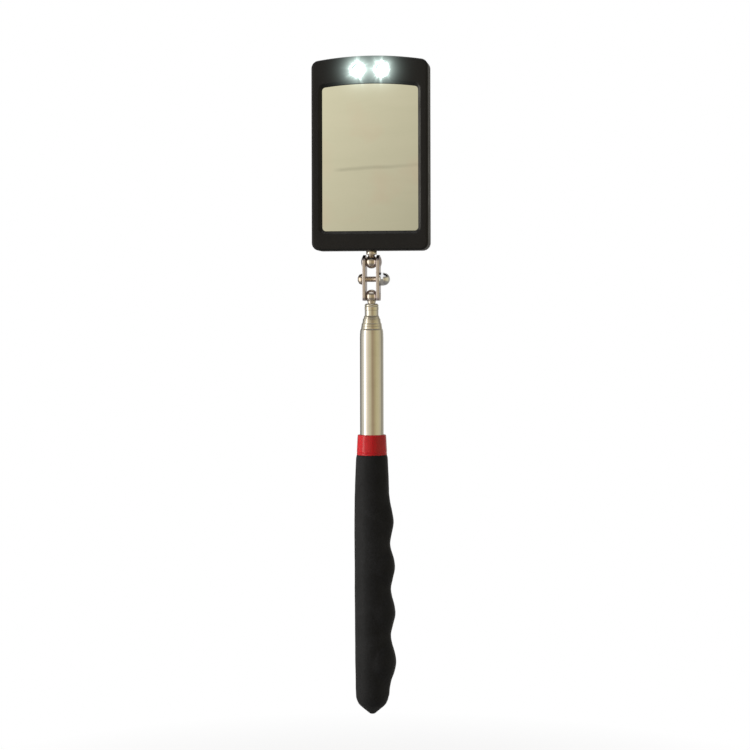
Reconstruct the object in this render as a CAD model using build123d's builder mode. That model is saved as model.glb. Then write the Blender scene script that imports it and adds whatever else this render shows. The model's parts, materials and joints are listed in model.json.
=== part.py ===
from build123d import *
import math
import os

# Telescoping inspection mirror with a lit head, shaft closed, in millimetres.
# The origin is on the shaft axis at the blunt bottom tip of the grip. +Z runs
# up the shaft to the head, the mirror faces -Y and the finger bumps are on +X.

os.makedirs("parts", exist_ok=True)

THROUGH = 20.0               # length of a cut or slice that runs out past its part


def save(part, name):
    part.label = name
    export_step(part, "parts/" + name + ".step")


def x_plane(x, z=0):
    """Plane facing +X; its sketch axes are Y and Z, measured from height z."""
    return Plane(origin=(x, 0, z), x_dir=(0, 1, 0), z_dir=(1, 0, 0))


def y_plane(y):
    """Plane facing -Y at the given y; its sketch axes are X and Z.

    A positive extrusion goes to the front (-Y), a negative one to the back.
    """
    return Plane.XZ.offset(-y)


def back_plane(x, y, z):
    """Plane facing the back (+Y), centred on a point."""
    return Plane(origin=(x, y, z), x_dir=(-1, 0, 0), z_dir=(0, 1, 0))


def x_axis(z):
    """Line along X that crosses the shaft axis at height z."""
    return Axis((0, 0, z), (1, 0, 0))


def arc_point(centre, radius, degrees):
    """Point on a circle in sketch coordinates."""
    angle = math.radians(degrees)
    return (centre[0] + radius * math.cos(angle), centre[1] + radius * math.sin(angle))


def pair(x, z):
    """Two points at the same height, left and right of the middle."""
    return [(-x, z), (x, z)]


def band(half_width, z_foot, z_top):
    """Rectangle centred on the shaft axis, added to the open sketch."""
    with Locations((0, (z_foot + z_top) / 2)):
        Rectangle(2 * half_width, z_top - z_foot)


def mirrored(part):
    """Copy of a part on the other side of the YZ plane."""
    with BuildPart() as copy:
        add(part)
        mirror(about=Plane.YZ, mode=Mode.REPLACE)
    return copy.part


def washer(plane, radius, hole_r):
    with BuildPart() as ring:
        with BuildSketch(plane):
            Circle(radius)
            Circle(hole_r, mode=Mode.SUBTRACT)
        extrude(amount=WASHER_T)
    return ring.part


# ---------------------------------------------------------------------------
# Telescoping tubes: sizes. Index 0 is the fixed outer tube, 1 to 4 slide.
# ---------------------------------------------------------------------------

WALL = 0.35
TUBE_STEP = 0.55             # drop in outside radius from one tube to the next
TUBE_R = [5.25 - TUBE_STEP * i for i in range(5)]
SECTION_RISE = 0.75          # each sliding section starts this much higher
TUBE_BOTTOM = [10.0] + [14.75 + SECTION_RISE * i for i in range(4)]
TUBE_MOUTH = [171.8, 174.3, 176.4, 177.7, 180.05]
LIP_GAP = 0.05               # radial gap between a mouth lip and the next tube
LIP_LEN = 0.8
LIP_TAPER = 0.35             # height of the cone from the lip out to the bore
RUN = 0.03                   # radial running clearance

# ---------------------------------------------------------------------------
# Handle: grip, collar, outer tube, end plug
# ---------------------------------------------------------------------------

GRIP_TOP = 115.5
GRIP_BORE_R = TUBE_R[0] + 0.02
BUMP_AXIS_X = 3.0            # the finger bumps are turned about this line

COLLAR_TOP = 125.0
COLLAR_R_LOW = 6.75
COLLAR_R_HIGH = 6.5
COLLAR_ROUND = 0.7
SPIGOT_R = 6.15
SPIGOT_BOTTOM = GRIP_TOP - 10.0

# (radius, z) up the outside of the grip
GRIP_PROFILE = [
    (1.4, 0.0), (3.9, 2.45), (5.9, 4.2), (6.85, 6.0), (7.28, 7.8), (7.5, 16.0),
    (7.7, 35.0), (7.8, 56.0), (7.9, 80.0), (7.75, 96.0), (7.25, 112.0),
    (6.9, GRIP_TOP),
]

# (x, z) up the four finger bumps
BUMP_PROFILE = [
    (6.0, 5.0), (7.5, 8.2), (8.4, 14.8), (10.75, 22.9), (8.45, 35.2), (10.4, 44.3),
    (8.5, 56.2), (10.3, 65.2), (8.05, 76.1), (9.7, 85.2), (7.9, 94.5), (7.0, 102.0),
]

# Grip: a turned body with a blunt closed end, and bumps turned about a line
# that stands off the axis towards +X.
with BuildPart() as grip:
    with BuildSketch(Plane.XZ):
        with BuildLine():
            Spline(*GRIP_PROFILE)
            Polyline(GRIP_PROFILE[-1], (0, GRIP_TOP), (0, 0), GRIP_PROFILE[0])
        make_face()
    revolve(axis=Axis.Z)
    with BuildSketch(Plane.XZ):
        with BuildLine():
            Spline(*BUMP_PROFILE)
            Polyline(BUMP_PROFILE[-1], (BUMP_AXIS_X, BUMP_PROFILE[-1][1]),
                     (BUMP_AXIS_X, BUMP_PROFILE[0][1]), BUMP_PROFILE[0])
        make_face()
    revolve(axis=Axis((BUMP_AXIS_X, 0, 0), (0, 0, 1)))
    # bore for the outer tube, and a counterbore for the collar's spigot
    with BuildSketch(Plane.XY.offset(TUBE_BOTTOM[0] - 0.05)):
        Circle(GRIP_BORE_R)
    extrude(amount=GRIP_TOP, mode=Mode.SUBTRACT)
    with BuildSketch(Plane.XY.offset(SPIGOT_BOTTOM - 0.05)):
        Circle(SPIGOT_R + 0.03)
    extrude(amount=THROUGH, mode=Mode.SUBTRACT)
save(grip.part, "grip")

# Collar, with a spigot that the top of the grip is pulled over.
with BuildPart() as red_collar:
    collar_foot = GRIP_TOP + 0.02
    round_start = (COLLAR_R_HIGH, COLLAR_TOP - COLLAR_ROUND)
    round_end = (COLLAR_R_HIGH - COLLAR_ROUND, COLLAR_TOP)
    with BuildSketch(Plane.XZ):
        with BuildLine():
            Polyline((GRIP_BORE_R, SPIGOT_BOTTOM), (SPIGOT_R, SPIGOT_BOTTOM),
                     (SPIGOT_R, collar_foot), (COLLAR_R_LOW, collar_foot), round_start)
            ThreePointArc(round_start, (COLLAR_R_HIGH - 0.2, COLLAR_TOP - 0.2), round_end)
            Polyline(round_end, (GRIP_BORE_R, COLLAR_TOP), (GRIP_BORE_R, SPIGOT_BOTTOM))
        make_face()
    revolve(axis=Axis.Z)
save(red_collar.part, "red_collar")

# Tubes with a rolled-in mouth. Each profile runs up the outside of the mouth
# as (inset from the outside radius, depth below the mouth).
ROLLED_TUBES = [
    ("outer_tube", [(0, 3.4), (0.12, 3.1), (0.03, 2.8), (0.05, 1.9),
                    (0.17, 1.65), (0.10, 1.4), (0.22, 0.55), (0.34, 0)]),
    ("section_1_tube", [(0, 2.45), (0.05, 2.1), (0.17, 1.35), (0.25, 1.2),
                        (0.22, 1.0), (0.36, 0)]),
    ("section_2_tube", [(0, 2.1), (0.10, 1.6), (0.20, 1.1), (0.27, 0.95),
                        (0.24, 0.8), (0.36, 0)]),
    ("section_3_tube", [(0, 1.3), (0.14, 0.7), (0.36, 0)]),
]


def rolled_tube(index, mouth_profile):
    outer_r = TUBE_R[index]
    inner_r = outer_r - WALL
    bottom = TUBE_BOTTOM[index]
    mouth = TUBE_MOUTH[index]
    lip_r = TUBE_R[index + 1] + LIP_GAP
    with BuildPart() as tube:
        with BuildSketch(Plane.XZ):
            with BuildLine():
                Polyline((inner_r, bottom), (outer_r, bottom),
                         *[(outer_r - inset, mouth - depth) for inset, depth in mouth_profile],
                         (lip_r, mouth), (lip_r, mouth - LIP_LEN),
                         (inner_r, mouth - LIP_LEN - LIP_TAPER), (inner_r, bottom))
            make_face()
        revolve(axis=Axis.Z)
    return tube.part


for index, (name, mouth_profile) in enumerate(ROLLED_TUBES):
    save(rolled_tube(index, mouth_profile), name)

# The last section is a plain tube.
with BuildPart() as section_4_tube:
    with BuildSketch(Plane.XY.offset(TUBE_BOTTOM[4])):
        Circle(TUBE_R[4])
        Circle(TUBE_R[4] - WALL, mode=Mode.SUBTRACT)
    extrude(amount=TUBE_MOUTH[4] - TUBE_BOTTOM[4])
save(section_4_tube.part, "section_4_tube")

# Plug that closes the lower end of the outer tube.
with BuildPart() as tube_end_plug:
    with BuildSketch(Plane.XY.offset(TUBE_BOTTOM[0] + 0.02)):
        Circle(TUBE_R[0] - WALL - 0.01)
    extrude(amount=3.85)
    chamfer(tube_end_plug.edges().filter_by(GeomType.CIRCLE), 0.3)
save(tube_end_plug.part, "tube_end_plug")

# ---------------------------------------------------------------------------
# Friction bushes: a slit sleeve over the lower end of each sliding section,
# with a seat at its foot that carries the end of the tube
# ---------------------------------------------------------------------------

BUSH_LEN = 8.0
BUSH_SEAT_T = 0.70
BUSH_HOLE_R = 1.6
SLIT_W = 0.8
SLIT_REACH = 3.0             # radial length of the slit cutter
SLIT_RISE = 0.6              # start of the slit above the seat

# (section, radial clearance to its own tube, x of the slit cutter's centre)
BUSHES = [(1, RUN, -5.0), (2, 0.01, -4.4), (3, 0.01, -3.9), (4, 0.01, -3.3)]


def friction_bush(section, clearance, slit_x):
    foot = TUBE_BOTTOM[section] - BUSH_SEAT_T - 0.02
    with BuildPart() as bush:
        with BuildSketch(Plane.XY.offset(foot)):
            Circle(TUBE_R[section - 1] - WALL - RUN)
        extrude(amount=BUSH_LEN)
        with BuildSketch(Plane.XY.offset(foot + BUSH_SEAT_T)):
            Circle(TUBE_R[section] + clearance)
        extrude(amount=BUSH_LEN, mode=Mode.SUBTRACT)
        with BuildSketch(Plane.XY.offset(foot)):
            Circle(BUSH_HOLE_R)
        extrude(amount=BUSH_LEN, mode=Mode.SUBTRACT)
        with BuildSketch(Plane.XY.offset(foot + BUSH_SEAT_T + SLIT_RISE)):
            with Locations((slit_x, 0)):
                Rectangle(SLIT_REACH, SLIT_W)
        extrude(amount=BUSH_LEN, mode=Mode.SUBTRACT)
    return bush.part


for section, clearance, slit_x in BUSHES:
    save(friction_bush(section, clearance, slit_x), f"section_{section}_bush")

# ---------------------------------------------------------------------------
# Tip fitting: plug in the last tube, with a rounded flange and one groove
# ---------------------------------------------------------------------------

FIT_R = 3.25
FIT_BOTTOM = TUBE_MOUTH[4] + 0.05
FIT_TOP = FIT_BOTTOM + 3.0
FIT_ROUND = 0.5
FIT_PLUG_R = TUBE_R[4] - WALL - 0.02
FIT_PLUG_BOTTOM = 171.0
FIT_GROOVE_Z = 181.95
FIT_GROOVE_HALF_W = 0.2
FIT_GROOVE_DEPTH = 0.18
SHANK_R = 1.2                # shank of the lower ball stud

with BuildPart() as tip_fitting:
    with BuildSketch(Plane.XZ):
        with BuildLine():
            Polyline((0, FIT_PLUG_BOTTOM), (FIT_PLUG_R, FIT_PLUG_BOTTOM),
                     (FIT_PLUG_R, FIT_BOTTOM), (FIT_R, FIT_BOTTOM),
                     (FIT_R, FIT_GROOVE_Z - FIT_GROOVE_HALF_W),
                     (FIT_R - FIT_GROOVE_DEPTH, FIT_GROOVE_Z),
                     (FIT_R, FIT_GROOVE_Z + FIT_GROOVE_HALF_W),
                     (FIT_R, FIT_TOP - FIT_ROUND))
            ThreePointArc((FIT_R, FIT_TOP - FIT_ROUND), (FIT_R - 0.15, FIT_TOP - 0.15),
                          (FIT_R - FIT_ROUND, FIT_TOP))
            Polyline((FIT_R - FIT_ROUND, FIT_TOP), (0, FIT_TOP), (0, FIT_PLUG_BOTTOM))
        make_face()
    revolve(axis=Axis.Z)
    with BuildSketch(Plane.XY.offset(FIT_PLUG_BOTTOM + 2.0)):
        Circle(SHANK_R + RUN)
    extrude(amount=THROUGH, mode=Mode.SUBTRACT)
save(tip_fitting.part, "tip_fitting")

# ---------------------------------------------------------------------------
# Double ball clamp
# ---------------------------------------------------------------------------

BALL_R = 2.95
BALL_LOW_Z = 186.4
BALL_HIGH_Z = 201.7
LOW_NECK_R = 1.75
CLAMP_Z = 194.0              # height of the clamp screw
SEAT_R = BALL_R + 0.03       # spherical seats in the plates
LOW_SEAT_OPEN_R = 1.3        # radius of the lower seat's hole to the outside
PLATE_IN = 2.4               # x of the inner face
PLATE_T = 1.4
PLATE_OUT = PLATE_IN + PLATE_T
PLATE_HALF_W = 3.1
PLATE_CUT = 2.0              # straight lower end, below the lower ball centre
DOME_R = 4.65
SCREW_R = 1.25
SCREW_HEAD_R = 2.45
SCREW_HEAD_X = -6.15
SCREW_TIP_X = 6.65
SCREW_TIP_CHAMFER = 0.25
WASHER_T = 0.5
CLAMP_GAP = 0.02             # gap between pieces stacked on the screw
CROSS_LEN = 2.6              # cross recess of the clamp screw
CROSS_W = 0.55
NUT_DOME_R = 2.8

# Lower ball stud: shank in the tip fitting, short neck, ball.
with BuildPart() as lower_ball_stud:
    shank_foot = FIT_PLUG_BOTTOM + 2.6
    neck_foot = FIT_TOP + 0.05
    neck_top = BALL_LOW_Z - math.sqrt(BALL_R ** 2 - LOW_NECK_R ** 2)
    with BuildSketch(Plane.XZ):
        with BuildLine():
            Polyline((0, shank_foot), (SHANK_R, shank_foot), (SHANK_R, neck_foot),
                     (LOW_NECK_R, neck_foot), (LOW_NECK_R, neck_top))
            ThreePointArc((LOW_NECK_R, neck_top), (BALL_R, BALL_LOW_Z),
                          (0, BALL_LOW_Z + BALL_R))
            Line((0, BALL_LOW_Z + BALL_R), (0, shank_foot))
        make_face()
    revolve(axis=Axis.Z)
save(lower_ball_stud.part, "lower_ball_stud")

# Clamp plates: flat strips beside the balls. The lower end is cut straight,
# the upper end is rounded and pressed out to a shallow dome over the ball.
low_centre = (0, BALL_LOW_Z)
high_centre = (0, BALL_HIGH_Z)

with BuildSketch(Plane.XY) as plate_outline:
    cut_half_w = math.sqrt(PLATE_HALF_W ** 2 - PLATE_CUT ** 2)
    cut_z = BALL_LOW_Z - PLATE_CUT
    with BuildLine():
        Line((-cut_half_w, cut_z), (cut_half_w, cut_z))
        ThreePointArc((cut_half_w, cut_z), arc_point(low_centre, PLATE_HALF_W, -20),
                      (PLATE_HALF_W, BALL_LOW_Z))
        Line((PLATE_HALF_W, BALL_LOW_Z), (PLATE_HALF_W, BALL_HIGH_Z))
        ThreePointArc((PLATE_HALF_W, BALL_HIGH_Z), (0, BALL_HIGH_Z + PLATE_HALF_W),
                      (-PLATE_HALF_W, BALL_HIGH_Z))
        Line((-PLATE_HALF_W, BALL_HIGH_Z), (-PLATE_HALF_W, BALL_LOW_Z))
        ThreePointArc((-PLATE_HALF_W, BALL_LOW_Z), arc_point(low_centre, PLATE_HALF_W, 200),
                      (-cut_half_w, cut_z))
    make_face()

with BuildPart() as clamp_plate_right:
    with BuildSketch(x_plane(PLATE_IN)):
        add(plate_outline.sketch)
    extrude(amount=PLATE_T)
    fillet(clamp_plate_right.faces().sort_by(Axis.X)[-1].edges(), 0.3)
    # pressed dome around the upper ball
    dome_x = PLATE_OUT - 0.3
    dome_rim = (dome_x, BALL_HIGH_Z + math.sqrt(DOME_R ** 2 - dome_x ** 2))
    with BuildSketch(Plane.XZ):
        with BuildLine():
            Polyline((dome_x, BALL_HIGH_Z), (DOME_R, BALL_HIGH_Z))
            ThreePointArc((DOME_R, BALL_HIGH_Z), arc_point(high_centre, DOME_R, 20), dome_rim)
            Line(dome_rim, (dome_x, BALL_HIGH_Z))
        make_face()
    revolve(axis=x_axis(BALL_HIGH_Z))
    # spherical seat for the upper ball
    with BuildSketch(Plane.XZ):
        with BuildLine():
            Line(high_centre, (0, BALL_HIGH_Z + SEAT_R))
            ThreePointArc((0, BALL_HIGH_Z + SEAT_R), arc_point(high_centre, SEAT_R, 45),
                          (SEAT_R, BALL_HIGH_Z))
            Line((SEAT_R, BALL_HIGH_Z), high_centre)
        make_face()
    revolve(axis=x_axis(BALL_HIGH_Z), mode=Mode.SUBTRACT)
    # spherical seat for the lower ball, open to the outside
    opening_z = BALL_LOW_Z + LOW_SEAT_OPEN_R
    seat_rim = (math.sqrt(SEAT_R ** 2 - LOW_SEAT_OPEN_R ** 2), opening_z)
    with BuildSketch(Plane.XZ):
        with BuildLine():
            Line(low_centre, (0, BALL_LOW_Z + SEAT_R))
            ThreePointArc((0, BALL_LOW_Z + SEAT_R), arc_point(low_centre, SEAT_R, 60), seat_rim)
            Polyline(seat_rim, (6.0, opening_z), (6.0, BALL_LOW_Z), low_centre)
        make_face()
    revolve(axis=x_axis(BALL_LOW_Z), mode=Mode.SUBTRACT)
    # hole for the clamp screw
    with BuildSketch(x_plane(0, CLAMP_Z)):
        Circle(SCREW_R + 0.1)
    extrude(amount=THROUGH, mode=Mode.SUBTRACT)
save(clamp_plate_right.part, "clamp_plate_right")
save(mirrored(clamp_plate_right.part), "clamp_plate_left")

# Clamp screw: pan head on -X, shank through both plates.
with BuildPart() as clamp_screw:
    head_seat_x = -PLATE_OUT - CLAMP_GAP
    with BuildSketch(Plane.XZ):
        with BuildLine():
            Polyline((SCREW_HEAD_X, CLAMP_Z), (SCREW_HEAD_X, CLAMP_Z + 0.9))
            ThreePointArc((SCREW_HEAD_X, CLAMP_Z + 0.9), (-5.45, CLAMP_Z + 2.05),
                          (-4.15, CLAMP_Z + SCREW_HEAD_R))
            Polyline((-4.15, CLAMP_Z + SCREW_HEAD_R), (head_seat_x, CLAMP_Z + SCREW_HEAD_R),
                     (head_seat_x, CLAMP_Z + SCREW_R),
                     (SCREW_TIP_X - SCREW_TIP_CHAMFER, CLAMP_Z + SCREW_R),
                     (SCREW_TIP_X, CLAMP_Z + SCREW_R - SCREW_TIP_CHAMFER),
                     (SCREW_TIP_X, CLAMP_Z), (SCREW_HEAD_X, CLAMP_Z))
        make_face()
    revolve(axis=x_axis(CLAMP_Z))
    # cross recess in the head
    with BuildSketch(x_plane(SCREW_HEAD_X, CLAMP_Z)):
        Rectangle(CROSS_LEN, CROSS_W)
        Rectangle(CROSS_W, CROSS_LEN)
    extrude(amount=1.1, mode=Mode.SUBTRACT)
save(clamp_screw.part, "clamp_screw")

washer_x = PLATE_OUT + CLAMP_GAP
save(washer(x_plane(washer_x, CLAMP_Z), 3.1, SCREW_R + 0.08), "clamp_washer")

# Acorn cap nut on +X: a hexagon with a dome.
with BuildPart() as clamp_cap_nut:
    nut_x = washer_x + WASHER_T + CLAMP_GAP
    dome_foot_x = nut_x + 1.0
    dome_centre = (nut_x + 1.15, CLAMP_Z)
    dome_edge = (dome_centre[0], CLAMP_Z + NUT_DOME_R)
    dome_tip = (dome_centre[0] + NUT_DOME_R, CLAMP_Z)
    with BuildSketch(x_plane(nut_x, CLAMP_Z)):
        RegularPolygon(radius=3.3, side_count=6)
    extrude(amount=1.5)
    with BuildSketch(Plane.XZ):
        with BuildLine():
            Polyline((dome_foot_x, CLAMP_Z), (dome_foot_x, CLAMP_Z + NUT_DOME_R), dome_edge)
            ThreePointArc(dome_edge, arc_point(dome_centre, NUT_DOME_R, 45), dome_tip)
            Line(dome_tip, (dome_foot_x, CLAMP_Z))
        make_face()
    revolve(axis=x_axis(CLAMP_Z))
    with BuildSketch(x_plane(nut_x, CLAMP_Z)):
        Circle(SCREW_R + 0.02)
    extrude(amount=2.5, mode=Mode.SUBTRACT)
save(clamp_cap_nut.part, "clamp_cap_nut")

# ---------------------------------------------------------------------------
# Upper ball stud with its washer and nut
# ---------------------------------------------------------------------------

HEAD_FOOT = 206.7            # z of the foot of the mirror head
BOSS_R = 2.4
BOSS_FOOT = 204.95
BOSS_CHAMFER = 0.25
STUD_R = 1.5                 # shank in the head, and the neck below the boss
STUD_TOP = 212.4
STUD_CHAMFER = 0.3
STUD_WASHER_Z = 208.25

# Ball, neck, round boss, then a shank into the head.
with BuildPart() as upper_ball_stud:
    neck_foot = BALL_HIGH_Z + math.sqrt(BALL_R ** 2 - STUD_R ** 2)
    boss_top = HEAD_FOOT - 0.05
    with BuildSketch(Plane.XZ):
        with BuildLine():
            Line((0, BALL_HIGH_Z - BALL_R), (0, STUD_TOP))
            Polyline((0, STUD_TOP), (STUD_R - STUD_CHAMFER, STUD_TOP),
                     (STUD_R, STUD_TOP - STUD_CHAMFER), (STUD_R, boss_top),
                     (BOSS_R, boss_top), (BOSS_R, BOSS_FOOT + BOSS_CHAMFER),
                     (BOSS_R - BOSS_CHAMFER, BOSS_FOOT), (STUD_R, BOSS_FOOT),
                     (STUD_R, neck_foot))
            ThreePointArc((STUD_R, neck_foot), (BALL_R, BALL_HIGH_Z),
                          (0, BALL_HIGH_Z - BALL_R))
        make_face()
    revolve(axis=Axis.Z)
save(upper_ball_stud.part, "upper_ball_stud")

save(washer(Plane.XY.offset(STUD_WASHER_Z), 3.0, STUD_R + 0.05), "stud_washer")

with BuildPart() as stud_nut:
    with BuildSketch(Plane.XY.offset(STUD_WASHER_Z + WASHER_T + 0.05)):
        RegularPolygon(radius=3.15, side_count=6)
        Circle(STUD_R + 0.02, mode=Mode.SUBTRACT)
    extrude(amount=2.4)
    chamfer(stud_nut.edges().group_by(Axis.Z)[-1].filter_by(GeomType.LINE), 0.25)
save(stud_nut.part, "stud_nut")

# ---------------------------------------------------------------------------
# Mirror head: sizes and outlines
# ---------------------------------------------------------------------------

HEAD_TOP = 293.1
HEAD_HALF_W = 26.15
HEAD_HALF_T = 6.25
HEAD_SAG = 2.3               # drop of the arched top from middle to side
HEAD_CORNER = 3.5
PART_Y = 0.02                # front edge of the back shell

WIN_HALF_W = 21.5
WIN_FOOT = 215.4
WIN_TOP = 280.8
WIN_SAG = 1.55
WIN_CORNER = 1.6
WIN_BEVEL = 1.35
WIN_DEPTH = 2.2
GLASS_FRONT = -HEAD_HALF_T + WIN_DEPTH     # y at the back of the window bevel
GLASS_T = 2.0

LED_Z = 287.0
LAMPS = pair(5.4, LED_Z)
LEADS = pair(1.27, 0)        # the two leads, measured from a lamp's centre

CELL_R = 10.0
CELL_T = 3.2
CELL_X = 10.6
CELL_Z = 232.2
CELLS = pair(CELL_X, CELL_Z)
CONTACT_X = 12.6             # middle of each side contact

DOOR_HALF_W = 21.2
DOOR_TOP = 246.0
DOOR_IN_Y = 4.55             # inner face of the door
DOOR_SEAT_Y = 4.45           # floor of the door recess
BELOW_HEAD = 200.0           # z where cutters of the door and its recess start

TOP_SCREWS = pair(21.3, 287.8)
FOOT_SCREWS = pair(14.0, 210.6)
# (y of the surface the screws sink into, their places)
SCREW_ROWS = [(HEAD_HALF_T, TOP_SCREWS), (DOOR_SEAT_Y, FOOT_SCREWS)]


def arched_outline(half_w, z_foot, z_crown, sag, corner=0):
    """Straight foot and sides, arched top, corners rounded if corner is given."""
    z_side = z_crown - sag
    with BuildSketch(Plane.XY) as outline:
        with BuildLine():
            Polyline((-half_w, z_side), (-half_w, z_foot), (half_w, z_foot), (half_w, z_side))
            ThreePointArc((half_w, z_side), (0, z_crown), (-half_w, z_side))
        make_face()
        if corner:
            fillet(outline.vertices(), corner)
    return outline.sketch


head_outline = arched_outline(HEAD_HALF_W, HEAD_FOOT, HEAD_TOP, HEAD_SAG, HEAD_CORNER)
window_in = arched_outline(WIN_HALF_W, WIN_FOOT, WIN_TOP, WIN_SAG, WIN_CORNER)
window_out = arched_outline(WIN_HALF_W + WIN_BEVEL, WIN_FOOT - WIN_BEVEL,
                            WIN_TOP + WIN_BEVEL, WIN_SAG, WIN_CORNER + 0.9)
glass_outline = arched_outline(WIN_HALF_W + 1.2, WIN_FOOT - 1.2, WIN_TOP + 1.15, WIN_SAG)

# Solid envelope of the head, cut below into bezel, back shell and door.
with BuildPart() as head_blank:
    with BuildSketch(y_plane(HEAD_HALF_T)):
        add(head_outline)
    extrude(amount=2 * HEAD_HALF_T)
    fillet(head_blank.faces().sort_by(Axis.Y)[-1].edges(), 2.0)
    fillet(head_blank.faces().sort_by(Axis.Y)[0].edges(), 1.1)

# ---------------------------------------------------------------------------
# Head housing
# ---------------------------------------------------------------------------

with BuildPart() as front_bezel:
    add(head_blank.part)
    with BuildSketch(Plane.XZ):
        with Locations((0, 250)):
            Rectangle(80, 120)
    extrude(amount=THROUGH, mode=Mode.INTERSECT)
    # bevelled window
    with BuildSketch(y_plane(-HEAD_HALF_T)):
        add(window_out)
    with BuildSketch(y_plane(GLASS_FRONT)):
        add(window_in)
    loft(mode=Mode.SUBTRACT)
    # pocket for the glass, its pad and the battery well behind it
    with BuildSketch(Plane.XZ):
        band(22.8, 214.1, 282.1)
    extrude(amount=-GLASS_FRONT, mode=Mode.SUBTRACT)
    # room for the light board above, and for the stud's nut below
    with BuildSketch(Plane.XZ):
        with Locations((0, LED_Z)):
            Rectangle(36.5, 8.4)
        with Locations((0, 210.55)):
            Rectangle(20.0, 4.6)
        with Locations((0, 282.5)):
            Rectangle(36.5, 2.0)
    extrude(amount=4.6, mode=Mode.SUBTRACT)
    # conical reflector pockets and holes for the lamps
    with Locations(*[Location(Plane(origin=(x, -HEAD_HALF_T, z), x_dir=(1, 0, 0),
                                    z_dir=(0, -1, 0))) for x, z in LAMPS]):
        CounterSinkHole(radius=2.6, counter_sink_radius=3.75, depth=4.0,
                        counter_sink_angle=100)
    # bore for the ball stud
    with BuildSketch(Plane.XY.offset(HEAD_FOOT - 1)):
        Circle(STUD_R + 0.05)
    extrude(amount=4, mode=Mode.SUBTRACT)
    # pilot holes of the housing screws
    with BuildSketch(Plane.XZ):
        with Locations(*TOP_SCREWS, *FOOT_SCREWS):
            Circle(1.02)
    extrude(amount=3.6, mode=Mode.SUBTRACT)
save(front_bezel.part, "front_bezel")

with BuildPart() as back_shell:
    add(head_blank.part)
    with BuildSketch(y_plane(PART_Y)):
        with Locations((0, 250)):
            Rectangle(80, 120)
    extrude(amount=-THROUGH, mode=Mode.INTERSECT)
    # battery well block, reaching in behind the mirror
    with BuildSketch(y_plane(PART_Y)):
        with Locations((0, CELL_Z)):
            Rectangle(2 * 21.9, 24.4)
    extrude(amount=1.12)
    # hollow above the well, leaving a post round each top screw
    with BuildSketch(y_plane(PART_Y)):
        band(23.6, 246.3, 289.6)
        band(18.0, 289.0, 291.0)
        with Locations(*TOP_SCREWS):
            Circle(3.0, mode=Mode.SUBTRACT)
    extrude(amount=-4.73, mode=Mode.SUBTRACT)
    # hollow below the well, leaving a post round each foot screw
    with BuildSketch(y_plane(PART_Y)):
        band(20.0, 208.2, 218.6)
        with Locations(*FOOT_SCREWS):
            Circle(2.6, mode=Mode.SUBTRACT)
    extrude(amount=-3.33, mode=Mode.SUBTRACT)
    # door recess, open at the foot, with a groove along each side
    with BuildSketch(y_plane(DOOR_SEAT_Y)):
        band(DOOR_HALF_W + 0.1, BELOW_HEAD, DOOR_TOP + 0.15)
    extrude(amount=-THROUGH, mode=Mode.SUBTRACT)
    with BuildSketch(y_plane(4.70)):
        band(22.35, BELOW_HEAD, DOOR_TOP - 0.4)
    extrude(amount=-0.95, mode=Mode.SUBTRACT)
    # two round wells for the coin cells and a finger notch between them
    with BuildSketch(y_plane(-0.3)):
        with Locations(*CELLS):
            Circle(CELL_R + 0.35)
        with Locations((0, CELL_Z)):
            Rectangle(12.0, 9.0)
    extrude(amount=-THROUGH, mode=Mode.SUBTRACT)
    # notches for the two side contacts
    with BuildSketch(y_plane(-0.3)):
        with Locations(*pair(CONTACT_X, 243.4)):
            Rectangle(4.4, 7.6)
    extrude(amount=-4.7, mode=Mode.SUBTRACT)
    # bore for the ball stud
    with BuildSketch(Plane.XY.offset(HEAD_FOOT - 1)):
        Circle(STUD_R + 0.05)
    extrude(amount=4, mode=Mode.SUBTRACT)
    # slot and thumb recess of the slide switch
    with BuildSketch(y_plane(3.0)):
        with Locations((0, LED_Z)):
            SlotOverall(7.2, 2.9)
    extrude(amount=-THROUGH, mode=Mode.SUBTRACT)
    with BuildSketch(y_plane(5.45)):
        with Locations((0, LED_Z)):
            SlotOverall(13.0, 6.4)
    extrude(amount=-THROUGH, mode=Mode.SUBTRACT)
    # screw holes: two outside above, two under the door
    for surface_y, places in SCREW_ROWS:
        with Locations(*[Location(back_plane(x, surface_y, z)) for x, z in places]):
            CounterSinkHole(radius=1.15, counter_sink_radius=1.95, depth=8.0,
                            counter_sink_angle=90)
    # shadow groove along the parting line
    with BuildSketch(y_plane(PART_Y)):
        add(head_outline)
        offset(head_outline, amount=-0.35, mode=Mode.SUBTRACT)
    extrude(amount=-0.45, mode=Mode.SUBTRACT)
save(back_shell.part, "back_shell")

# Battery door: slides off at the foot.
with BuildPart() as battery_door:
    add(head_blank.part)
    with BuildSketch(y_plane(DOOR_IN_Y)):
        band(DOOR_HALF_W, BELOW_HEAD, DOOR_TOP)
    extrude(amount=-THROUGH, mode=Mode.INTERSECT)
    # tongue along each side
    with BuildSketch(y_plane(4.80)):
        with Locations(*pair(DOOR_HALF_W, 227.5)):
            Rectangle(2.1, 34.0)
    extrude(amount=-0.7)
    # shallow thumb recess with a row of ribs
    thumb_centre = (0, 217.5)
    with BuildSketch(y_plane(5.65)):
        with Locations(thumb_centre):
            SlotOverall(17.0, 9.0)
    extrude(amount=-THROUGH, mode=Mode.SUBTRACT)
    with BuildSketch(y_plane(5.60)):
        with GridLocations(0, 1.75, 1, 4):
            with Locations(thumb_centre):
                SlotOverall(12.0, 0.8)
    extrude(amount=-0.55)
save(battery_door.part, "battery_door")

# Mirror glass and its foam mounting pad.
with BuildPart() as mirror_glass:
    with BuildSketch(y_plane(GLASS_FRONT + 0.03)):
        add(glass_outline)
    extrude(amount=-GLASS_T)
    chamfer(mirror_glass.faces().sort_by(Axis.Y)[0].edges(), 0.25)
save(mirror_glass.part, "mirror_glass")

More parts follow.
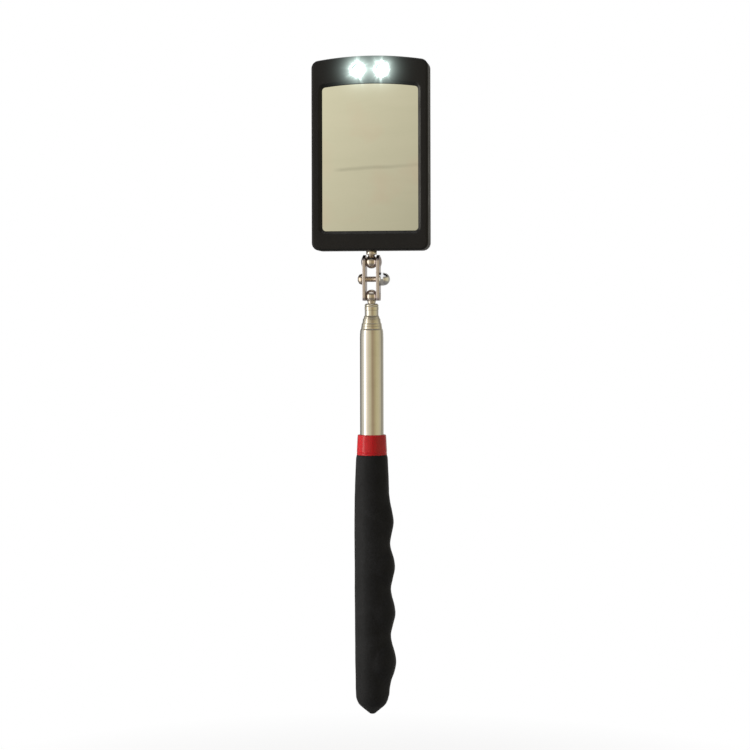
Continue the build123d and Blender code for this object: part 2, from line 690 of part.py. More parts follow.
with BuildPart() as mirror_pad:
    pad_foot, pad_top = 216.2, 278.4
    with BuildSketch(y_plane(GLASS_FRONT + GLASS_T + 0.05)):
        with Locations((0, (pad_foot + pad_top) / 2)):
            RectangleRounded(2 * 20.8, pad_top - pad_foot, 2.0)
    extrude(amount=-0.78)
save(mirror_pad.part, "mirror_pad")

# ---------------------------------------------------------------------------
# Lamps, board and switch
# ---------------------------------------------------------------------------

LED_R = 2.5
LED_FLANGE_R = 2.9
LED_BACK_Y = 1.2
LED_FLANGE_Y = 0.3           # front of the flange
LED_DOME_Y = -3.1            # centre of the domed front
BOARD_FRONT_Y = 1.95
BOARD_BACK_Y = 2.95
KNOB_X = 1.55                # switch on

# Round lamp with a flange at the back and a domed front.
with BuildPart() as led_left:
    led_x = LAMPS[0][0]
    dome_edge = (LED_DOME_Y, LED_Z + LED_R)
    dome_tip = (LED_DOME_Y - LED_R, LED_Z)
    with BuildSketch(Plane.YZ.offset(led_x)):
        with BuildLine():
            Polyline((LED_BACK_Y, LED_Z), (LED_BACK_Y, LED_Z + LED_FLANGE_R),
                     (LED_FLANGE_Y, LED_Z + LED_FLANGE_R), (LED_FLANGE_Y, LED_Z + LED_R),
                     dome_edge)
            ThreePointArc(dome_edge, arc_point((LED_DOME_Y, LED_Z), LED_R, 135), dome_tip)
            Line(dome_tip, (LED_BACK_Y, LED_Z))
        make_face()
    revolve(axis=Axis((led_x, 0, LED_Z), (0, 1, 0)))
save(led_left.part, "led_left")
save(mirrored(led_left.part), "led_right")

with BuildPart() as led_leads:
    with BuildSketch(y_plane(LED_BACK_Y + 0.02)):
        with Locations(*LAMPS):
            with Locations(*LEADS):
                Rectangle(0.45, 0.45)
    extrude(amount=-1.9)
save(led_leads.part, "led_leads")

with BuildPart() as circuit_board:
    with BuildSketch(y_plane(BOARD_FRONT_Y)):
        with Locations((0, 286.6)):
            Rectangle(34.0, 8.0)
        with Locations(*LAMPS):
            with Locations(*LEADS):
                Circle(0.4, mode=Mode.SUBTRACT)
    extrude(amount=-(BOARD_BACK_Y - BOARD_FRONT_Y))
save(circuit_board.part, "circuit_board")

with BuildPart() as resistors:
    with BuildSketch(y_plane(BOARD_BACK_Y + 0.01)):
        with Locations(*pair(11.0, 288.3)):
            Rectangle(2.0, 1.25)
    extrude(amount=-0.5)
save(resistors.part, "resistors")

with BuildPart() as switch_body:
    with BuildSketch(y_plane(BOARD_BACK_Y + 0.16)):
        with Locations((0, LED_Z)):
            Rectangle(8.4, 3.6)
    extrude(amount=-1.54)
    # track of the knob's foot
    with BuildSketch(y_plane(4.0)):
        with Locations((0, LED_Z)):
            Rectangle(6.4, 1.4)
    extrude(amount=-1.0, mode=Mode.SUBTRACT)
save(switch_body.part, "switch_body")

with BuildPart() as switch_knob:
    with BuildSketch(y_plane(4.70)):
        with Locations((KNOB_X, LED_Z)):
            RectangleRounded(3.0, 2.5, 0.4)
    extrude(amount=-1.45)
    # foot that runs in the switch body
    with BuildSketch(y_plane(4.05)):
        with Locations((KNOB_X, LED_Z)):
            Rectangle(1.6, 1.2)
    extrude(amount=-0.8)
    # three grooves across the thumb face
    with BuildSketch(y_plane(5.85)):
        with Locations(*[(KNOB_X + dx, LED_Z) for dx in (-0.8, 0, 0.8)]):
            Rectangle(0.3, 2.0)
    extrude(amount=-THROUGH, mode=Mode.SUBTRACT)
save(switch_knob.part, "switch_knob")

# ---------------------------------------------------------------------------
# Coin cells, contacts and wires
# ---------------------------------------------------------------------------

CELL_FRONT_Y = 0.35
CAP_R = 8.6
CAP_STEP = 0.55              # how far the cap stands out of the can
CAP_T = 0.6
CLIP_W = 3.6


def coin_cell(x, can_y, cap_y, rim):
    """Can and cap from their front faces; rim picks the can's rounded end
    along Y, 0 for the front and -1 for the back."""
    with BuildPart() as cell:
        with BuildSketch(y_plane(can_y)):
            with Locations((x, CELL_Z)):
                Circle(CELL_R)
        extrude(amount=-(CELL_T - CAP_STEP))
        fillet(cell.faces().sort_by(Axis.Y)[rim].edges(), 0.35)
        with BuildSketch(y_plane(cap_y)):
            with Locations((x, CELL_Z)):
                Circle(CAP_R)
        extrude(amount=-CAP_T)
    return cell.part


# Cell 1 has its can towards the door, cell 2 lies the other way up.
save(coin_cell(-CELL_X, can_y=CELL_FRONT_Y + CAP_STEP, cap_y=CELL_FRONT_Y, rim=-1),
     "coin_cell_1")
save(coin_cell(CELL_X, can_y=CELL_FRONT_Y, cap_y=CELL_FRONT_Y + CELL_T - CAP_T, rim=0),
     "coin_cell_2")

# Bridge in front of both cells, with a round pad towards each.
with BuildPart() as contact_bridge:
    with BuildSketch(y_plane(-0.27)):
        with Locations((0, CELL_Z)):
            Rectangle(26.0, 5.0)
    extrude(amount=-0.2)
    with BuildSketch(y_plane(-0.08)):
        with Locations(*CELLS):
            Circle(1.8)
    extrude(amount=-0.40)
save(contact_bridge.part, "contact_bridge")

# (y, z) round the section of the bent strip over the rim of a cell
CLIP_SECTION = [
    (3.60, 238.4), (3.85, 238.4), (3.85, 246.9), (0.4, 246.9), (0.4, 246.65),
    (3.60, 246.65), (3.60, 238.4),
]


def contact_clip(x):
    with BuildPart() as clip:
        with BuildSketch(Plane.YZ.offset(x - CLIP_W / 2)):
            with BuildLine():
                Polyline(*CLIP_SECTION)
            make_face()
        extrude(amount=CLIP_W)
    return clip.part


save(contact_clip(-CONTACT_X), "contact_positive")
save(contact_clip(CONTACT_X), "contact_negative")

# (x, y, z) along each insulated wire, from its clip up to the board
WIRE_R = 0.5
WIRES = {
    "wire_red": [(-12.6, 1.2, 247.6), (-15.0, 1.1, 256.0), (-13.0, 1.0, 268.0),
                 (-14.5, 1.1, 278.0), (-14.0, 1.15, 284.5)],
    "wire_black": [(12.6, 1.2, 247.6), (14.6, 1.1, 257.0), (12.4, 1.0, 267.0),
                   (14.2, 1.1, 277.0), (14.0, 1.15, 284.5)],
}


def wire(path):
    with BuildPart() as strand:
        with BuildLine():
            Spline(*path, tangents=((0, 0, 1), (0, 0, 1)))
        with BuildSketch(Plane(origin=path[0], z_dir=(0, 0, 1))):
            Circle(WIRE_R)
        sweep()
    return strand.part


for name, path in WIRES.items():
    save(wire(path), name)

# ---------------------------------------------------------------------------
# Four countersunk housing screws, two above and two under the door
# ---------------------------------------------------------------------------

SINK_R = 1.85                # countersunk head
HOUSING_SCREW_R = 1.0
RECESS_LEN = 2.2
RECESS_W = 0.42

with BuildPart() as housing_screws:
    for surface_y, places in SCREW_ROWS:
        head_y = surface_y - 0.05
        for x, z in places:
            with BuildSketch(Plane(origin=(x, 0, z), x_dir=(1, 0, 0), z_dir=(0, 0, 1))):
                with BuildLine():
                    Polyline((0, head_y), (SINK_R, head_y),
                             (HOUSING_SCREW_R, head_y - (SINK_R - HOUSING_SCREW_R)),
                             (HOUSING_SCREW_R, -3.2), (0.6, -3.5), (0, -3.5), (0, head_y))
                make_face()
            revolve(axis=Axis((x, 0, z), (0, 1, 0)))
            # cross recess
            with BuildSketch(back_plane(x, head_y, z)):
                Rectangle(RECESS_LEN, RECESS_W)
                Rectangle(RECESS_W, RECESS_LEN)
            extrude(amount=-0.6, mode=Mode.SUBTRACT)
save(housing_screws.part, "housing_screws")
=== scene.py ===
# Telescopic inspection mirror: soft grip, red collar, drawn tubes, double ball clamp and a
# mirror head with two lamps. It stands along +Z with the closed end of the grip at z = 0. The
# mirror faces -Y and its width runs along X. Lengths of the product are in millimetres; the
# floor, lights and camera are placed in metres.
import json
import math
import bpy
import bmesh
from mathutils import Matrix, Vector, noise
from mathutils.geometry import delaunay_2d_cdt


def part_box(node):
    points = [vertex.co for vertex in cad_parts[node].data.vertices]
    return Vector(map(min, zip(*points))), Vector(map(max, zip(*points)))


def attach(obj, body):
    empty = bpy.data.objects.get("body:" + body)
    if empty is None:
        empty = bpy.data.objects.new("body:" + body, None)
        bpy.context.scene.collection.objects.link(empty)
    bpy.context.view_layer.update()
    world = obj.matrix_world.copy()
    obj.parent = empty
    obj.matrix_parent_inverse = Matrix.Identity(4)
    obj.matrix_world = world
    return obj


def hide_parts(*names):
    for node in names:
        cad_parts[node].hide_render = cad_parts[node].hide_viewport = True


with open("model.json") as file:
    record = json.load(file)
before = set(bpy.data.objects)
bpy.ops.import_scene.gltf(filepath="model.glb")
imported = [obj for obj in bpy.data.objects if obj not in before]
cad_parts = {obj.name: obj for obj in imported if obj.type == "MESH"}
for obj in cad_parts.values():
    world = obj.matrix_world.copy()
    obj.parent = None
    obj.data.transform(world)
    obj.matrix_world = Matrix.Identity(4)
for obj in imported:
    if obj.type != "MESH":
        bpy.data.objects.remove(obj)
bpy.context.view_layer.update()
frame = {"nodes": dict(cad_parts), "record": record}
SLOT = {part["node"]: part["material_slot"] for part in frame["record"]["subparts"]}
MM = 0.001


def box_mm(node):
    lo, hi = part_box(node)
    return [c * 1000 for c in lo], [c * 1000 for c in hi]


lamp_lo, lamp_hi = box_mm("led_right")
LAMP_X = (lamp_lo[0] + lamp_hi[0]) / 2
LAMP_Z = (lamp_lo[2] + lamp_hi[2]) / 2


# ------------------------------------------------------------------ shader nodes
MID = (0.35, 0.65)                            # the range most noise values fall in


class Graph:
    """Adds nodes to a shader tree. All but node() and feed() return an output socket."""

    def __init__(self, tree):
        self.tree = tree

    def feed(self, node, inputs):
        """Link a socket, or set a value, on each named or numbered input."""
        for key, value in inputs.items():
            socket = node.inputs[key]
            if isinstance(value, bpy.types.NodeSocket):
                self.tree.links.new(value, socket)
            elif socket.type == "RGBA":
                socket.default_value = (*value, 1)
            else:
                socket.default_value = value

    def node(self, kind, inputs=None, **settings):
        node = self.tree.nodes.new("ShaderNode" + kind)
        for key, value in settings.items():
            setattr(node, key, value)
        self.feed(node, inputs or {})
        return node

    def coords(self, stretch=(1, 1, 1), turn=(0, 0, 0)):
        """Object coordinates in millimetres, scaled by stretch."""
        place = self.node("TexCoord").outputs["Object"]
        return self.node("Mapping", {"Vector": place, "Scale": [1000 * s for s in stretch],
                                     "Rotation": turn}).outputs["Vector"]

    def noise(self, vector, scale, detail=3.0, rough=0.55, warp=0.0):
        return self.node("TexNoise", {"Vector": vector, "Scale": scale, "Detail": detail,
                                      "Roughness": rough, "Distortion": warp}).outputs["Fac"]

    def ramp(self, factor, stops):
        """Colour ramp from (position, colour) stops."""
        node = self.node("ValToRGB", {"Fac": factor})
        elements = node.color_ramp.elements
        while len(elements) > 1:
            elements.remove(elements[-1])
        elements[0].position = stops[0][0]
        elements[0].color = (*stops[0][1], 1)
        for position, colour in stops[1:]:
            elements.new(position).color = (*colour, 1)
        return node.outputs["Color"]

    def remap(self, value, to, over=(0.0, 1.0)):
        """Map the range over onto the range to, clamped."""
        return self.node("MapRange", {"From Min": over[0], "From Max": over[1], "To Min": to[0],
                                      "To Max": to[1], "Value": value}).outputs["Result"]

    def math(self, operation, *values):
        return self.node("Math", dict(enumerate(values)), operation=operation).outputs[0]

    def weigh(self, a, b, share):
        """Weighted sum of two values, share being the weight of the first."""
        return self.math("ADD", self.math("MULTIPLY", a, share),
                         self.math("MULTIPLY", b, 1 - share))

    def mix(self, a, b, factor, mode="MIX"):
        return self.node("Mix", {0: factor, 6: a, 7: b}, data_type="RGBA",
                         blend_type=mode).outputs[2]

    def bump(self, shader, *layers):
        """Chain (height, distance in mm, strength) layers into the shader's normal."""
        normal = None
        for height, distance, strength in layers:
            inputs = {"Distance": distance * MM, "Strength": strength, "Height": height}
            if normal is not None:
                inputs["Normal"] = normal
            normal = self.node("Bump", inputs).outputs["Normal"]
        self.feed(shader, {"Normal": normal})


def new_material(name):
    mat = bpy.data.materials.new(name)
    mat.use_nodes = True
    mat.node_tree.nodes.clear()
    g = Graph(mat.node_tree)
    output = g.node("OutputMaterial")
    shader = g.node("BsdfPrincipled")
    g.feed(output, {0: shader.outputs[0]})
    return mat, g, shader


def principled(mat):
    return next(n for n in mat.node_tree.nodes if n.type == "BSDF_PRINCIPLED")


# ------------------------------------------------------------------ materials
def metal(name, base, dark, rough=0.16, streak=(1, 1, 1), streak_scale=1.2, wear=0.25,
          bump_mm=0.004, bump_gain=0.25):
    """Plated or drawn metal: fine directional streaks, cloudy stain, varying gloss."""
    mat, g, shader = new_material(name)
    place = g.coords()
    streaks = g.noise(g.coords(streak), scale=streak_scale, detail=4, rough=0.6)
    cloud = g.noise(place, scale=0.13, detail=4, rough=0.6, warp=0.6)
    light = tuple(min(1, c * 1.05) for c in base)
    tone = g.ramp(g.weigh(streaks, cloud, share=0.45), [(0.30, dark), (0.52, base), (1.0, light)])
    fine = g.noise(place, scale=3.0, detail=3, rough=0.6)
    gloss = g.math("ADD",
                   g.remap(streaks, to=(rough * (1 - wear), rough * (1 + wear)), over=(0.3, 0.7)),
                   g.remap(fine, to=(-0.02, 0.03), over=MID))
    g.feed(shader, {"Base Color": tone, "Metallic": 1.0, "Roughness": gloss})
    g.bump(shader, (streaks, bump_mm, bump_gain), (cloud, 0.02, 0.10))
    return mat


def plastic(name, base, rough=0.42, grain=2.2, grain_mm=0.012, grain_gain=0.5, vary=0.25,
            spec=0.5, coat=0.0, coat_rough=0.08):
    """Moulded plastic with a fine spark-eroded grain, faint flow clouding and rub marks."""
    mat, g, shader = new_material(name)
    place = g.coords()
    pits = g.noise(place, scale=grain * 2.2, detail=4, rough=0.65)
    cloud = g.noise(place, scale=0.06, detail=4, rough=0.6, warp=0.8)
    dark = tuple(c * (1 - vary) for c in base)
    light = tuple(min(1, c * (1 + vary)) for c in base)
    rub = g.noise(g.coords(stretch=(1, 1, 0.35), turn=(0.3, 0.5, 0.7)),
                  scale=0.35, detail=5, rough=0.62, warp=0.4)
    gloss = g.math("ADD", g.remap(rub, to=(rough * 0.82, rough * 1.15), over=MID),
                   g.remap(pits, to=(-0.03, 0.03), over=MID))
    g.feed(shader, {"Base Color": g.ramp(cloud, [(0.3, dark), (0.7, light)]),
                    "Roughness": gloss, "Specular IOR Level": spec,
                    "Coat Weight": coat, "Coat Roughness": coat_rough})
    g.bump(shader, (pits, grain_mm, grain_gain), (cloud, 0.03, 0.08))
    return mat


def foam_rubber():
    """Soft closed-cell rubber: matt, with fine pores painted darker inside as shade, a pebbled
    skin and lint-grey high spots.
    """
    mat, g, shader = new_material("grip_foam_rubber")
    place = g.coords()
    cells = g.node("TexVoronoi", {"Vector": place, "Scale": 1.9}).outputs["Distance"]
    solid = g.remap(cells, to=(0.0, 1.0), over=(0.10, 0.34))     # 0 inside a pore
    skin = g.noise(place, scale=1.1, detail=5, rough=0.65)
    cloud = g.noise(place, scale=0.07, detail=4, rough=0.6, warp=0.5)
    tone = g.ramp(g.weigh(skin, cloud, share=0.5), [
        (0.32, (0.0078, 0.0079, 0.0083)),
        (0.55, (0.0140, 0.0142, 0.0149)),
        (0.72, (0.0240, 0.0244, 0.0254))])
    # painted shade: the base colour is made near-black inside each pore
    pore_shade = (0.004, 0.004, 0.004)
    g.feed(shader, {"Base Color": g.mix(pore_shade, tone, solid),
                    "Roughness": g.remap(skin, to=(0.40, 0.54), over=MID),
                    "Specular IOR Level": 0.115, "Sheen Weight": 0.02, "Sheen Roughness": 0.5})
    g.bump(shader, (solid, 0.10, 0.35), (skin, 0.16, 0.45), (cloud, 0.3, 0.15))
    return mat


def silvered_glass():
    """Near-perfect reflection, wiping haze, warm patches, one hairline smear and painted shade
    towards -Z and +X.
    """
    smear_slope, smear_z = 0.055, 243.4       # rise per mm of X, height at X = 0
    smear_wobble = 1.1                        # mm
    brightest = 1.01                          # reflection brightness before the painted shade fall-off
    mat, g, shader = new_material("silvered_glass")
    place = g.coords()
    axes = g.node("SeparateXYZ", {0: place}).outputs
    x, z = axes["X"], axes["Z"]
    haze = g.noise(g.coords(stretch=(0.25, 1, 0.9), turn=(0, 0.35, 0)),
                   scale=0.10, detail=5, rough=0.6, warp=0.8)
    base = g.ramp(haze, [(0.3, (0.915, 0.925, 0.90)), (0.7, (0.955, 0.955, 0.94))])
    # painted shade: the reflection made a little darker towards -Z and +X
    fall = g.math("ADD", g.remap(z, to=(0.185, -0.01), over=(214, 281)),
                  g.remap(x, to=(-0.02, 0.12), over=(-21, 21)))
    keep = g.math("SUBTRACT", brightest, fall)
    patch = g.noise(place, scale=0.052, detail=2, rough=0.5, warp=0.3)
    warm_tint = (1.03, 0.93, 0.93)
    base = g.mix(base, warm_tint, g.remap(patch, to=(0.0, 0.55), over=(0.50, 0.66)), "MULTIPLY")
    # hairline smear that runs almost level across the middle
    line_z = g.math("ADD", g.math("MULTIPLY", x, smear_slope), smear_z)
    line = g.math("SUBTRACT", z, line_z)
    centred = g.math("SUBTRACT", g.noise(place, scale=0.07, detail=2), 0.5)
    wobble = g.math("MULTIPLY", centred, smear_wobble)
    distance = g.math("ABSOLUTE", g.math("ADD", line, wobble))
    ends = g.math("MULTIPLY", g.remap(x, to=(0.0, 1.0), over=(-17, -13)),
                  g.remap(x, to=(1.0, 0.45), over=(6, 19)))
    smear = g.math("MULTIPLY", g.remap(distance, to=(0.17, 0.0), over=(0.18, 1.2)), ends)
    keep = g.math("MULTIPLY", keep, g.math("SUBTRACT", 1.0, smear))
    grey = g.node("CombineColor", {0: keep, 1: keep, 2: keep}).outputs[0]
    g.feed(shader, {"Base Color": g.mix(base, grey, 1.0, "MULTIPLY"), "Metallic": 1.0,
                    "Roughness": g.remap(haze, to=(0.015, 0.05), over=(0.35, 0.7))})
    return mat


def lamp_lens():
    """Glowing lens, white where it faces the viewer and cyan at its rim."""
    mat, g, shader = new_material("lamp_lens")
    mottle = g.noise(g.coords(), scale=1.5, detail=3)
    facing = g.node("LayerWeight", {"Blend": 0.35}).outputs["Facing"]
    g.feed(shader, {
        "Base Color": g.ramp(mottle, [(0.3, (0.90, 0.97, 1.0)), (0.7, (1.0, 1.0, 1.0))]),
        "Roughness": g.remap(mottle, to=(0.03, 0.10), over=(0.3, 0.7)),
        "Emission Color": g.ramp(facing, [(0.0, (1.0, 1.0, 1.0)), (0.8, (0.55, 0.95, 1.0))]),
        "Emission Strength": g.remap(facing, to=(6.0, 1.2), over=(0.0, 0.9))})
    return mat


def lamp_spill(mat, strength, fade_y=None):
    """Painted glow and glare around the two lamps, added as emission to the material; fade_y is
    the Y range over which it dies away.
    """
    halo_radius, halo_decay = 6.6, -0.444     # mm of unit glow, decay per mm
    flare_radius, flare_decay = 3.25, -1.0
    flare_limit, flare_gain = 3.0, 1.4
    upright_power, upright_reach = 6.0, -1.5  # narrowness and mm of the arms along Z
    g = Graph(mat.node_tree)
    axes = g.node("SeparateXYZ", {0: g.coords()}).outputs
    dz = g.math("SUBTRACT", axes["Z"], LAMP_Z)

    def decay(distance, radius, rate):
        past = g.math("SUBTRACT", distance, radius)
        return g.math("EXPONENT", g.math("MULTIPLY", past, rate))

    total = None
    for lamp_x, share in ((-LAMP_X, 1.0), (LAMP_X, 0.85)):
        dx = g.math("SUBTRACT", axes["X"], lamp_x)
        distance = g.math("SQRT", g.math("ADD", g.math("MULTIPLY", dx, dx),
                                         g.math("MULTIPLY", dz, dz)))
        glow = g.math("MULTIPLY", decay(distance, halo_radius, halo_decay), strength * share)
        ragged = g.remap(g.noise(g.coords(), scale=0.42, detail=2, rough=0.6),
                         to=(-0.6, 0.6), over=(0.3, 0.7))
        reach = g.math("ADD", distance, ragged)
        # short uneven arms of glare, the longest ones up and down
        divisor = g.math("MAXIMUM", distance, 0.01)              # avoids division by zero
        unit_x = g.math("DIVIDE", dx, divisor)
        unit_z = g.math("DIVIDE", dz, divisor)
        way = g.node("CombineXYZ", {0: unit_x, 2: unit_z, 1: lamp_x}).outputs[0]
        arm = g.remap(g.noise(way, scale=2.6, detail=1, rough=0.5), to=(-1.2, 1.4), over=MID)
        upright = g.math("POWER", g.math("ABSOLUTE", unit_z), upright_power)
        reach = g.math("ADD", g.math("ADD", reach, arm),
                       g.math("MULTIPLY", upright, upright_reach))
        flare = g.math("MINIMUM", decay(reach, flare_radius, flare_decay), flare_limit)
        glow = g.math("ADD", glow, g.math("MULTIPLY", flare, strength * flare_gain * share))
        total = glow if total is None else g.math("ADD", total, glow)
    if fade_y:
        total = g.math("MULTIPLY", total, g.remap(axes["Y"], to=(1.0, 0.0), over=fade_y))
    g.feed(principled(mat), {"Emission Strength": total, "Emission Color": (0.80, 1.0, 0.93)})


MAT = {
    "grip": foam_rubber(),
    "collar": plastic("collar_red_gloss", base=(0.50, 0.0035, 0.010), rough=0.25, grain=0.6,
                      grain_mm=0.004, grain_gain=0.15, vary=0.10, spec=0.05, coat=0.70,
                      coat_rough=0.03),
    "tube": metal("tube_bright_nickel", base=(0.74, 0.72, 0.67), dark=(0.66, 0.635, 0.575),
                  rough=0.085, streak=(1, 1, 0.02), streak_scale=2.2, wear=0.35),
    "nose": metal("nose_bright_nickel", base=(0.72, 0.685, 0.60), dark=(0.56, 0.51, 0.42),
                  rough=0.15, streak=(0.05, 0.05, 1), streak_scale=3.5, wear=0.4),
    "bush": metal("bush_brass", base=(0.80, 0.58, 0.26), dark=(0.60, 0.40, 0.16), rough=0.28,
                  streak=(0.05, 0.05, 1), streak_scale=3.0, wear=0.3),
    "plug": plastic("plug_black", base=(0.05, 0.05, 0.05), rough=0.5),
    "ball": metal("ball_polished", base=(0.70, 0.64, 0.58), dark=(0.51, 0.455, 0.40),
                  rough=0.10, streak_scale=1.0, wear=0.4),
    "plate": metal("plate_nickel", base=(0.67, 0.61, 0.64), dark=(0.49, 0.435, 0.45),
                   rough=0.24, streak=(1, 1, 0.06), streak_scale=2.6, wear=0.35,
                   bump_mm=0.008, bump_gain=0.4),
    "screw": metal("screw_nickel", base=(0.68, 0.59, 0.50), dark=(0.46, 0.37, 0.29),
                   rough=0.20, streak_scale=1.6, wear=0.3),
    "cap_nut": metal("cap_nut_chrome", base=(0.92, 0.94, 0.975), dark=(0.76, 0.78, 0.82),
                     rough=0.08, wear=0.3),
    "housing": plastic("housing_black_satin", base=(0.0080, 0.0078, 0.0082), rough=0.46,
                       vary=0.15, spec=0.27),
    "door": plastic("door_black_satin", base=(0.0085, 0.0083, 0.0085), vary=0.15, spec=0.27),
    "mirror": silvered_glass(),
    "pad": plastic("pad_white_foam", base=(0.72, 0.72, 0.69), rough=0.9, grain=1.0,
                   grain_mm=0.08, spec=0.2),
    "lamp": lamp_lens(),
    "lead": metal("lead_tinned", base=(0.80, 0.80, 0.81), dark=(0.6, 0.6, 0.61), rough=0.3),
    "board": plastic("board_green", base=(0.012, 0.10, 0.035), rough=0.3, grain=1.4, coat=0.6),
    "chip": plastic("chip_black", base=(0.03, 0.03, 0.033), rough=0.4, grain=3.0),
    "switch": plastic("switch_black", base=(0.03, 0.03, 0.032), rough=0.35),
    "knob": plastic("knob_grey", base=(0.10, 0.10, 0.105), rough=0.45, grain=3.0),
    "cell": metal("cell_steel", base=(0.78, 0.78, 0.78), dark=(0.62, 0.62, 0.63), rough=0.22,
                  streak=(1, 1, 0.1), streak_scale=1.5),
    "contact": metal("contact_nickel", base=(0.76, 0.73, 0.66), dark=(0.56, 0.53, 0.46),
                     rough=0.25, streak=(0.1, 1, 1)),
    "wire_red": plastic("wire_red", base=(0.45, 0.012, 0.012), rough=0.4, grain=0.8,
                        grain_gain=0.2),
    "wire_black": plastic("wire_black", base=(0.02, 0.02, 0.02), rough=0.4, grain=0.8,
                          grain_gain=0.2),
    "fastener": metal("fastener_black_steel", base=(0.34, 0.34, 0.35),
                      dark=(0.18, 0.18, 0.185), rough=0.32, streak_scale=2.0),
}
# light bleeds through the thin red moulding
Graph(MAT["collar"].node_tree).feed(principled(MAT["collar"]), {
    "Subsurface Weight": 0.45, "Subsurface Scale": 0.008, "Subsurface Radius": (1.0, 0.15, 0.15)})
# painted glow and glare around the lamps: emission added to the housing and mirror materials
lamp_spill(MAT["housing"], strength=0.205, fade_y=(-4.8, -4.0))
lamp_spill(MAT["mirror"], strength=0.20)


# ------------------------------------------------------------------ mesh tools
def shade(mesh, sharp):
    """Smooth shading, with edges sharper than the given degrees kept crisp."""
    for polygon in mesh.polygons:
        polygon.use_smooth = True
    mesh.set_sharp_from_angle(angle=math.radians(sharp))


def new_object(name, bm):
    bmesh.ops.recalc_face_normals(bm, faces=bm.faces)
    mesh = bpy.data.meshes.new(name)
    bm.to_mesh(mesh)
    bm.free()
    obj = bpy.data.objects.new(name, mesh)
    bpy.context.scene.collection.objects.link(obj)
    return obj


def finish_mesh(name, bm, mat, body, node, sharp=32):
    """Turn the mesh into the object that stands in for a CAD node."""
    bmesh.ops.remove_doubles(bm, verts=bm.verts, dist=1e-7)
    obj = new_object(name, bm)
    obj.data.materials.append(MAT[mat])
    shade(obj.data, sharp)
    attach(obj, body)
    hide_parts(node)
    return obj


def rounded(points, steps=5):
    """Closed profile of (radius, height[, fillet]) points with its corners filleted."""
    out = []
    for i, point in enumerate(points):
        fillet = point[2] if len(point) > 2 else 0
        if not fillet:
            out.append((point[0], point[1]))
            continue
        corner = Vector(point[:2])
        back = Vector(points[i - 1][:2]) - corner
        ahead = Vector(points[(i + 1) % len(points)][:2]) - corner
        back_length, ahead_length = back.length, ahead.length
        back.normalize()
        ahead.normalize()
        angle = back.angle(ahead)
        if angle > math.radians(176):         # all but straight
            out.append((point[0], point[1]))
            continue
        # a fillet takes at most 48 % of either side
        reach = min(fillet / math.tan(angle / 2), back_length * 0.48, ahead_length * 0.48)
        radius = reach * math.tan(angle / 2)
        centre = corner + (back + ahead).normalized() * (radius / math.sin(angle / 2))
        start, end = corner + back * reach, corner + ahead * reach
        a0 = math.atan2(start.y - centre.y, start.x - centre.x)
        a1 = math.atan2(end.y - centre.y, end.x - centre.x)
        sweep = (a1 - a0 + math.pi) % (2 * math.pi) - math.pi
        for j in range(steps + 1):
            t = a0 + sweep * j / steps
            out.append((centre.x + radius * math.cos(t), centre.y + radius * math.sin(t)))
    return out


def arc(cx, cy, radius, start, end, steps):
    """Points on an arc between two angles in degrees, both ends included."""
    angles = [math.radians(start + (end - start) * i / steps) for i in range(steps + 1)]
    return [(cx + radius * math.cos(t), cy + radius * math.sin(t)) for t in angles]


def line(start, end, steps):
    """Points from start up to, but not including, end."""
    return [(start[0] + (end[0] - start[0]) * i / steps,
             start[1] + (end[1] - start[1]) * i / steps) for i in range(steps)]


def bridge(bm, first, second):
    """Join two closed rings of equally many vertices with quads."""
    for k in range(len(first)):
        k2 = (k + 1) % len(first)
        bm.faces.new((first[k], first[k2], second[k2], second[k]))


def lathe_bm(profile, seg=96, axis="Z", centre=(0, 0, 0)):
    """Turn (radius, height) points about an axis; points at radius 0 become poles.

    A profile with neither end on the axis is closed on itself.
    """
    bm = bmesh.new()
    cx, cy, cz = centre

    def vert(radius, height, t):
        u, v = radius * math.cos(t), radius * math.sin(t)
        place = {"X": (cx + height, cy + u, cz + v),
                 "Y": (cx + u, cy + height, cz + v),
                 "Z": (cx + u, cy + v, cz + height)}[axis]
        return bm.verts.new([c * MM for c in place])

    rings = []
    for radius, height in profile:
        if abs(radius) < 1e-6:
            rings.append([vert(0, height, 0)])
        else:
            rings.append([vert(radius, height, 2 * math.pi * k / seg) for k in range(seg)])
    pairs = list(zip(rings[:-1], rings[1:]))
    if len(rings[0]) > 1 and len(rings[-1]) > 1:
        pairs.append((rings[-1], rings[0]))
    for a, b in pairs:
        if len(a) == 1 and len(b) == 1:
            continue
        for k in range(seg):
            k2 = (k + 1) % seg
            if len(a) == 1:
                bm.faces.new((a[0], b[k], b[k2]))
            elif len(b) == 1:
                bm.faces.new((a[k], b[0], a[k2]))
            else:
                bm.faces.new((a[k], b[k], b[k2], a[k2]))
    return bm


def lathe(name, profile, mat, body, node, seg=96, axis="Z", centre=(0, 0, 0), sharp=32):
    return finish_mesh(name, lathe_bm(profile, seg, axis, centre), mat, body, node, sharp)


def box_cutter(size, centre):
    bm = bmesh.new()
    bmesh.ops.create_cube(bm, size=1.0)
    for v in bm.verts:
        v.co = Vector([(c * s + m) * MM for c, s, m in zip(v.co, size, centre)])
    return new_object("cutter", bm)


def subtract(obj, cutters, sharp):
    """Cut closed meshes out of the object, then remove them."""
    for cutter in cutters:
        modifier = obj.modifiers.new("cut", "BOOLEAN")
        modifier.operation = "DIFFERENCE"
        modifier.solver = "EXACT"
        modifier.object = cutter
    bpy.context.view_layer.update()
    depsgraph = bpy.context.evaluated_depsgraph_get()
    mesh = bpy.data.meshes.new_from_object(obj.evaluated_get(depsgraph))
    old = obj.data
    obj.modifiers.clear()
    obj.data = mesh
    bpy.data.meshes.remove(old)
    for cutter in cutters:
        cutter_mesh = cutter.data
        bpy.data.objects.remove(cutter)
        bpy.data.meshes.remove(cutter_mesh)
    shade(mesh, sharp)


def smooth_max(a, b, blend):
    h = max(0.0, min(1.0, 0.5 + 0.5 * (a - b) / blend))
    return a * h + b * (1 - h) + blend * h * (1 - h)


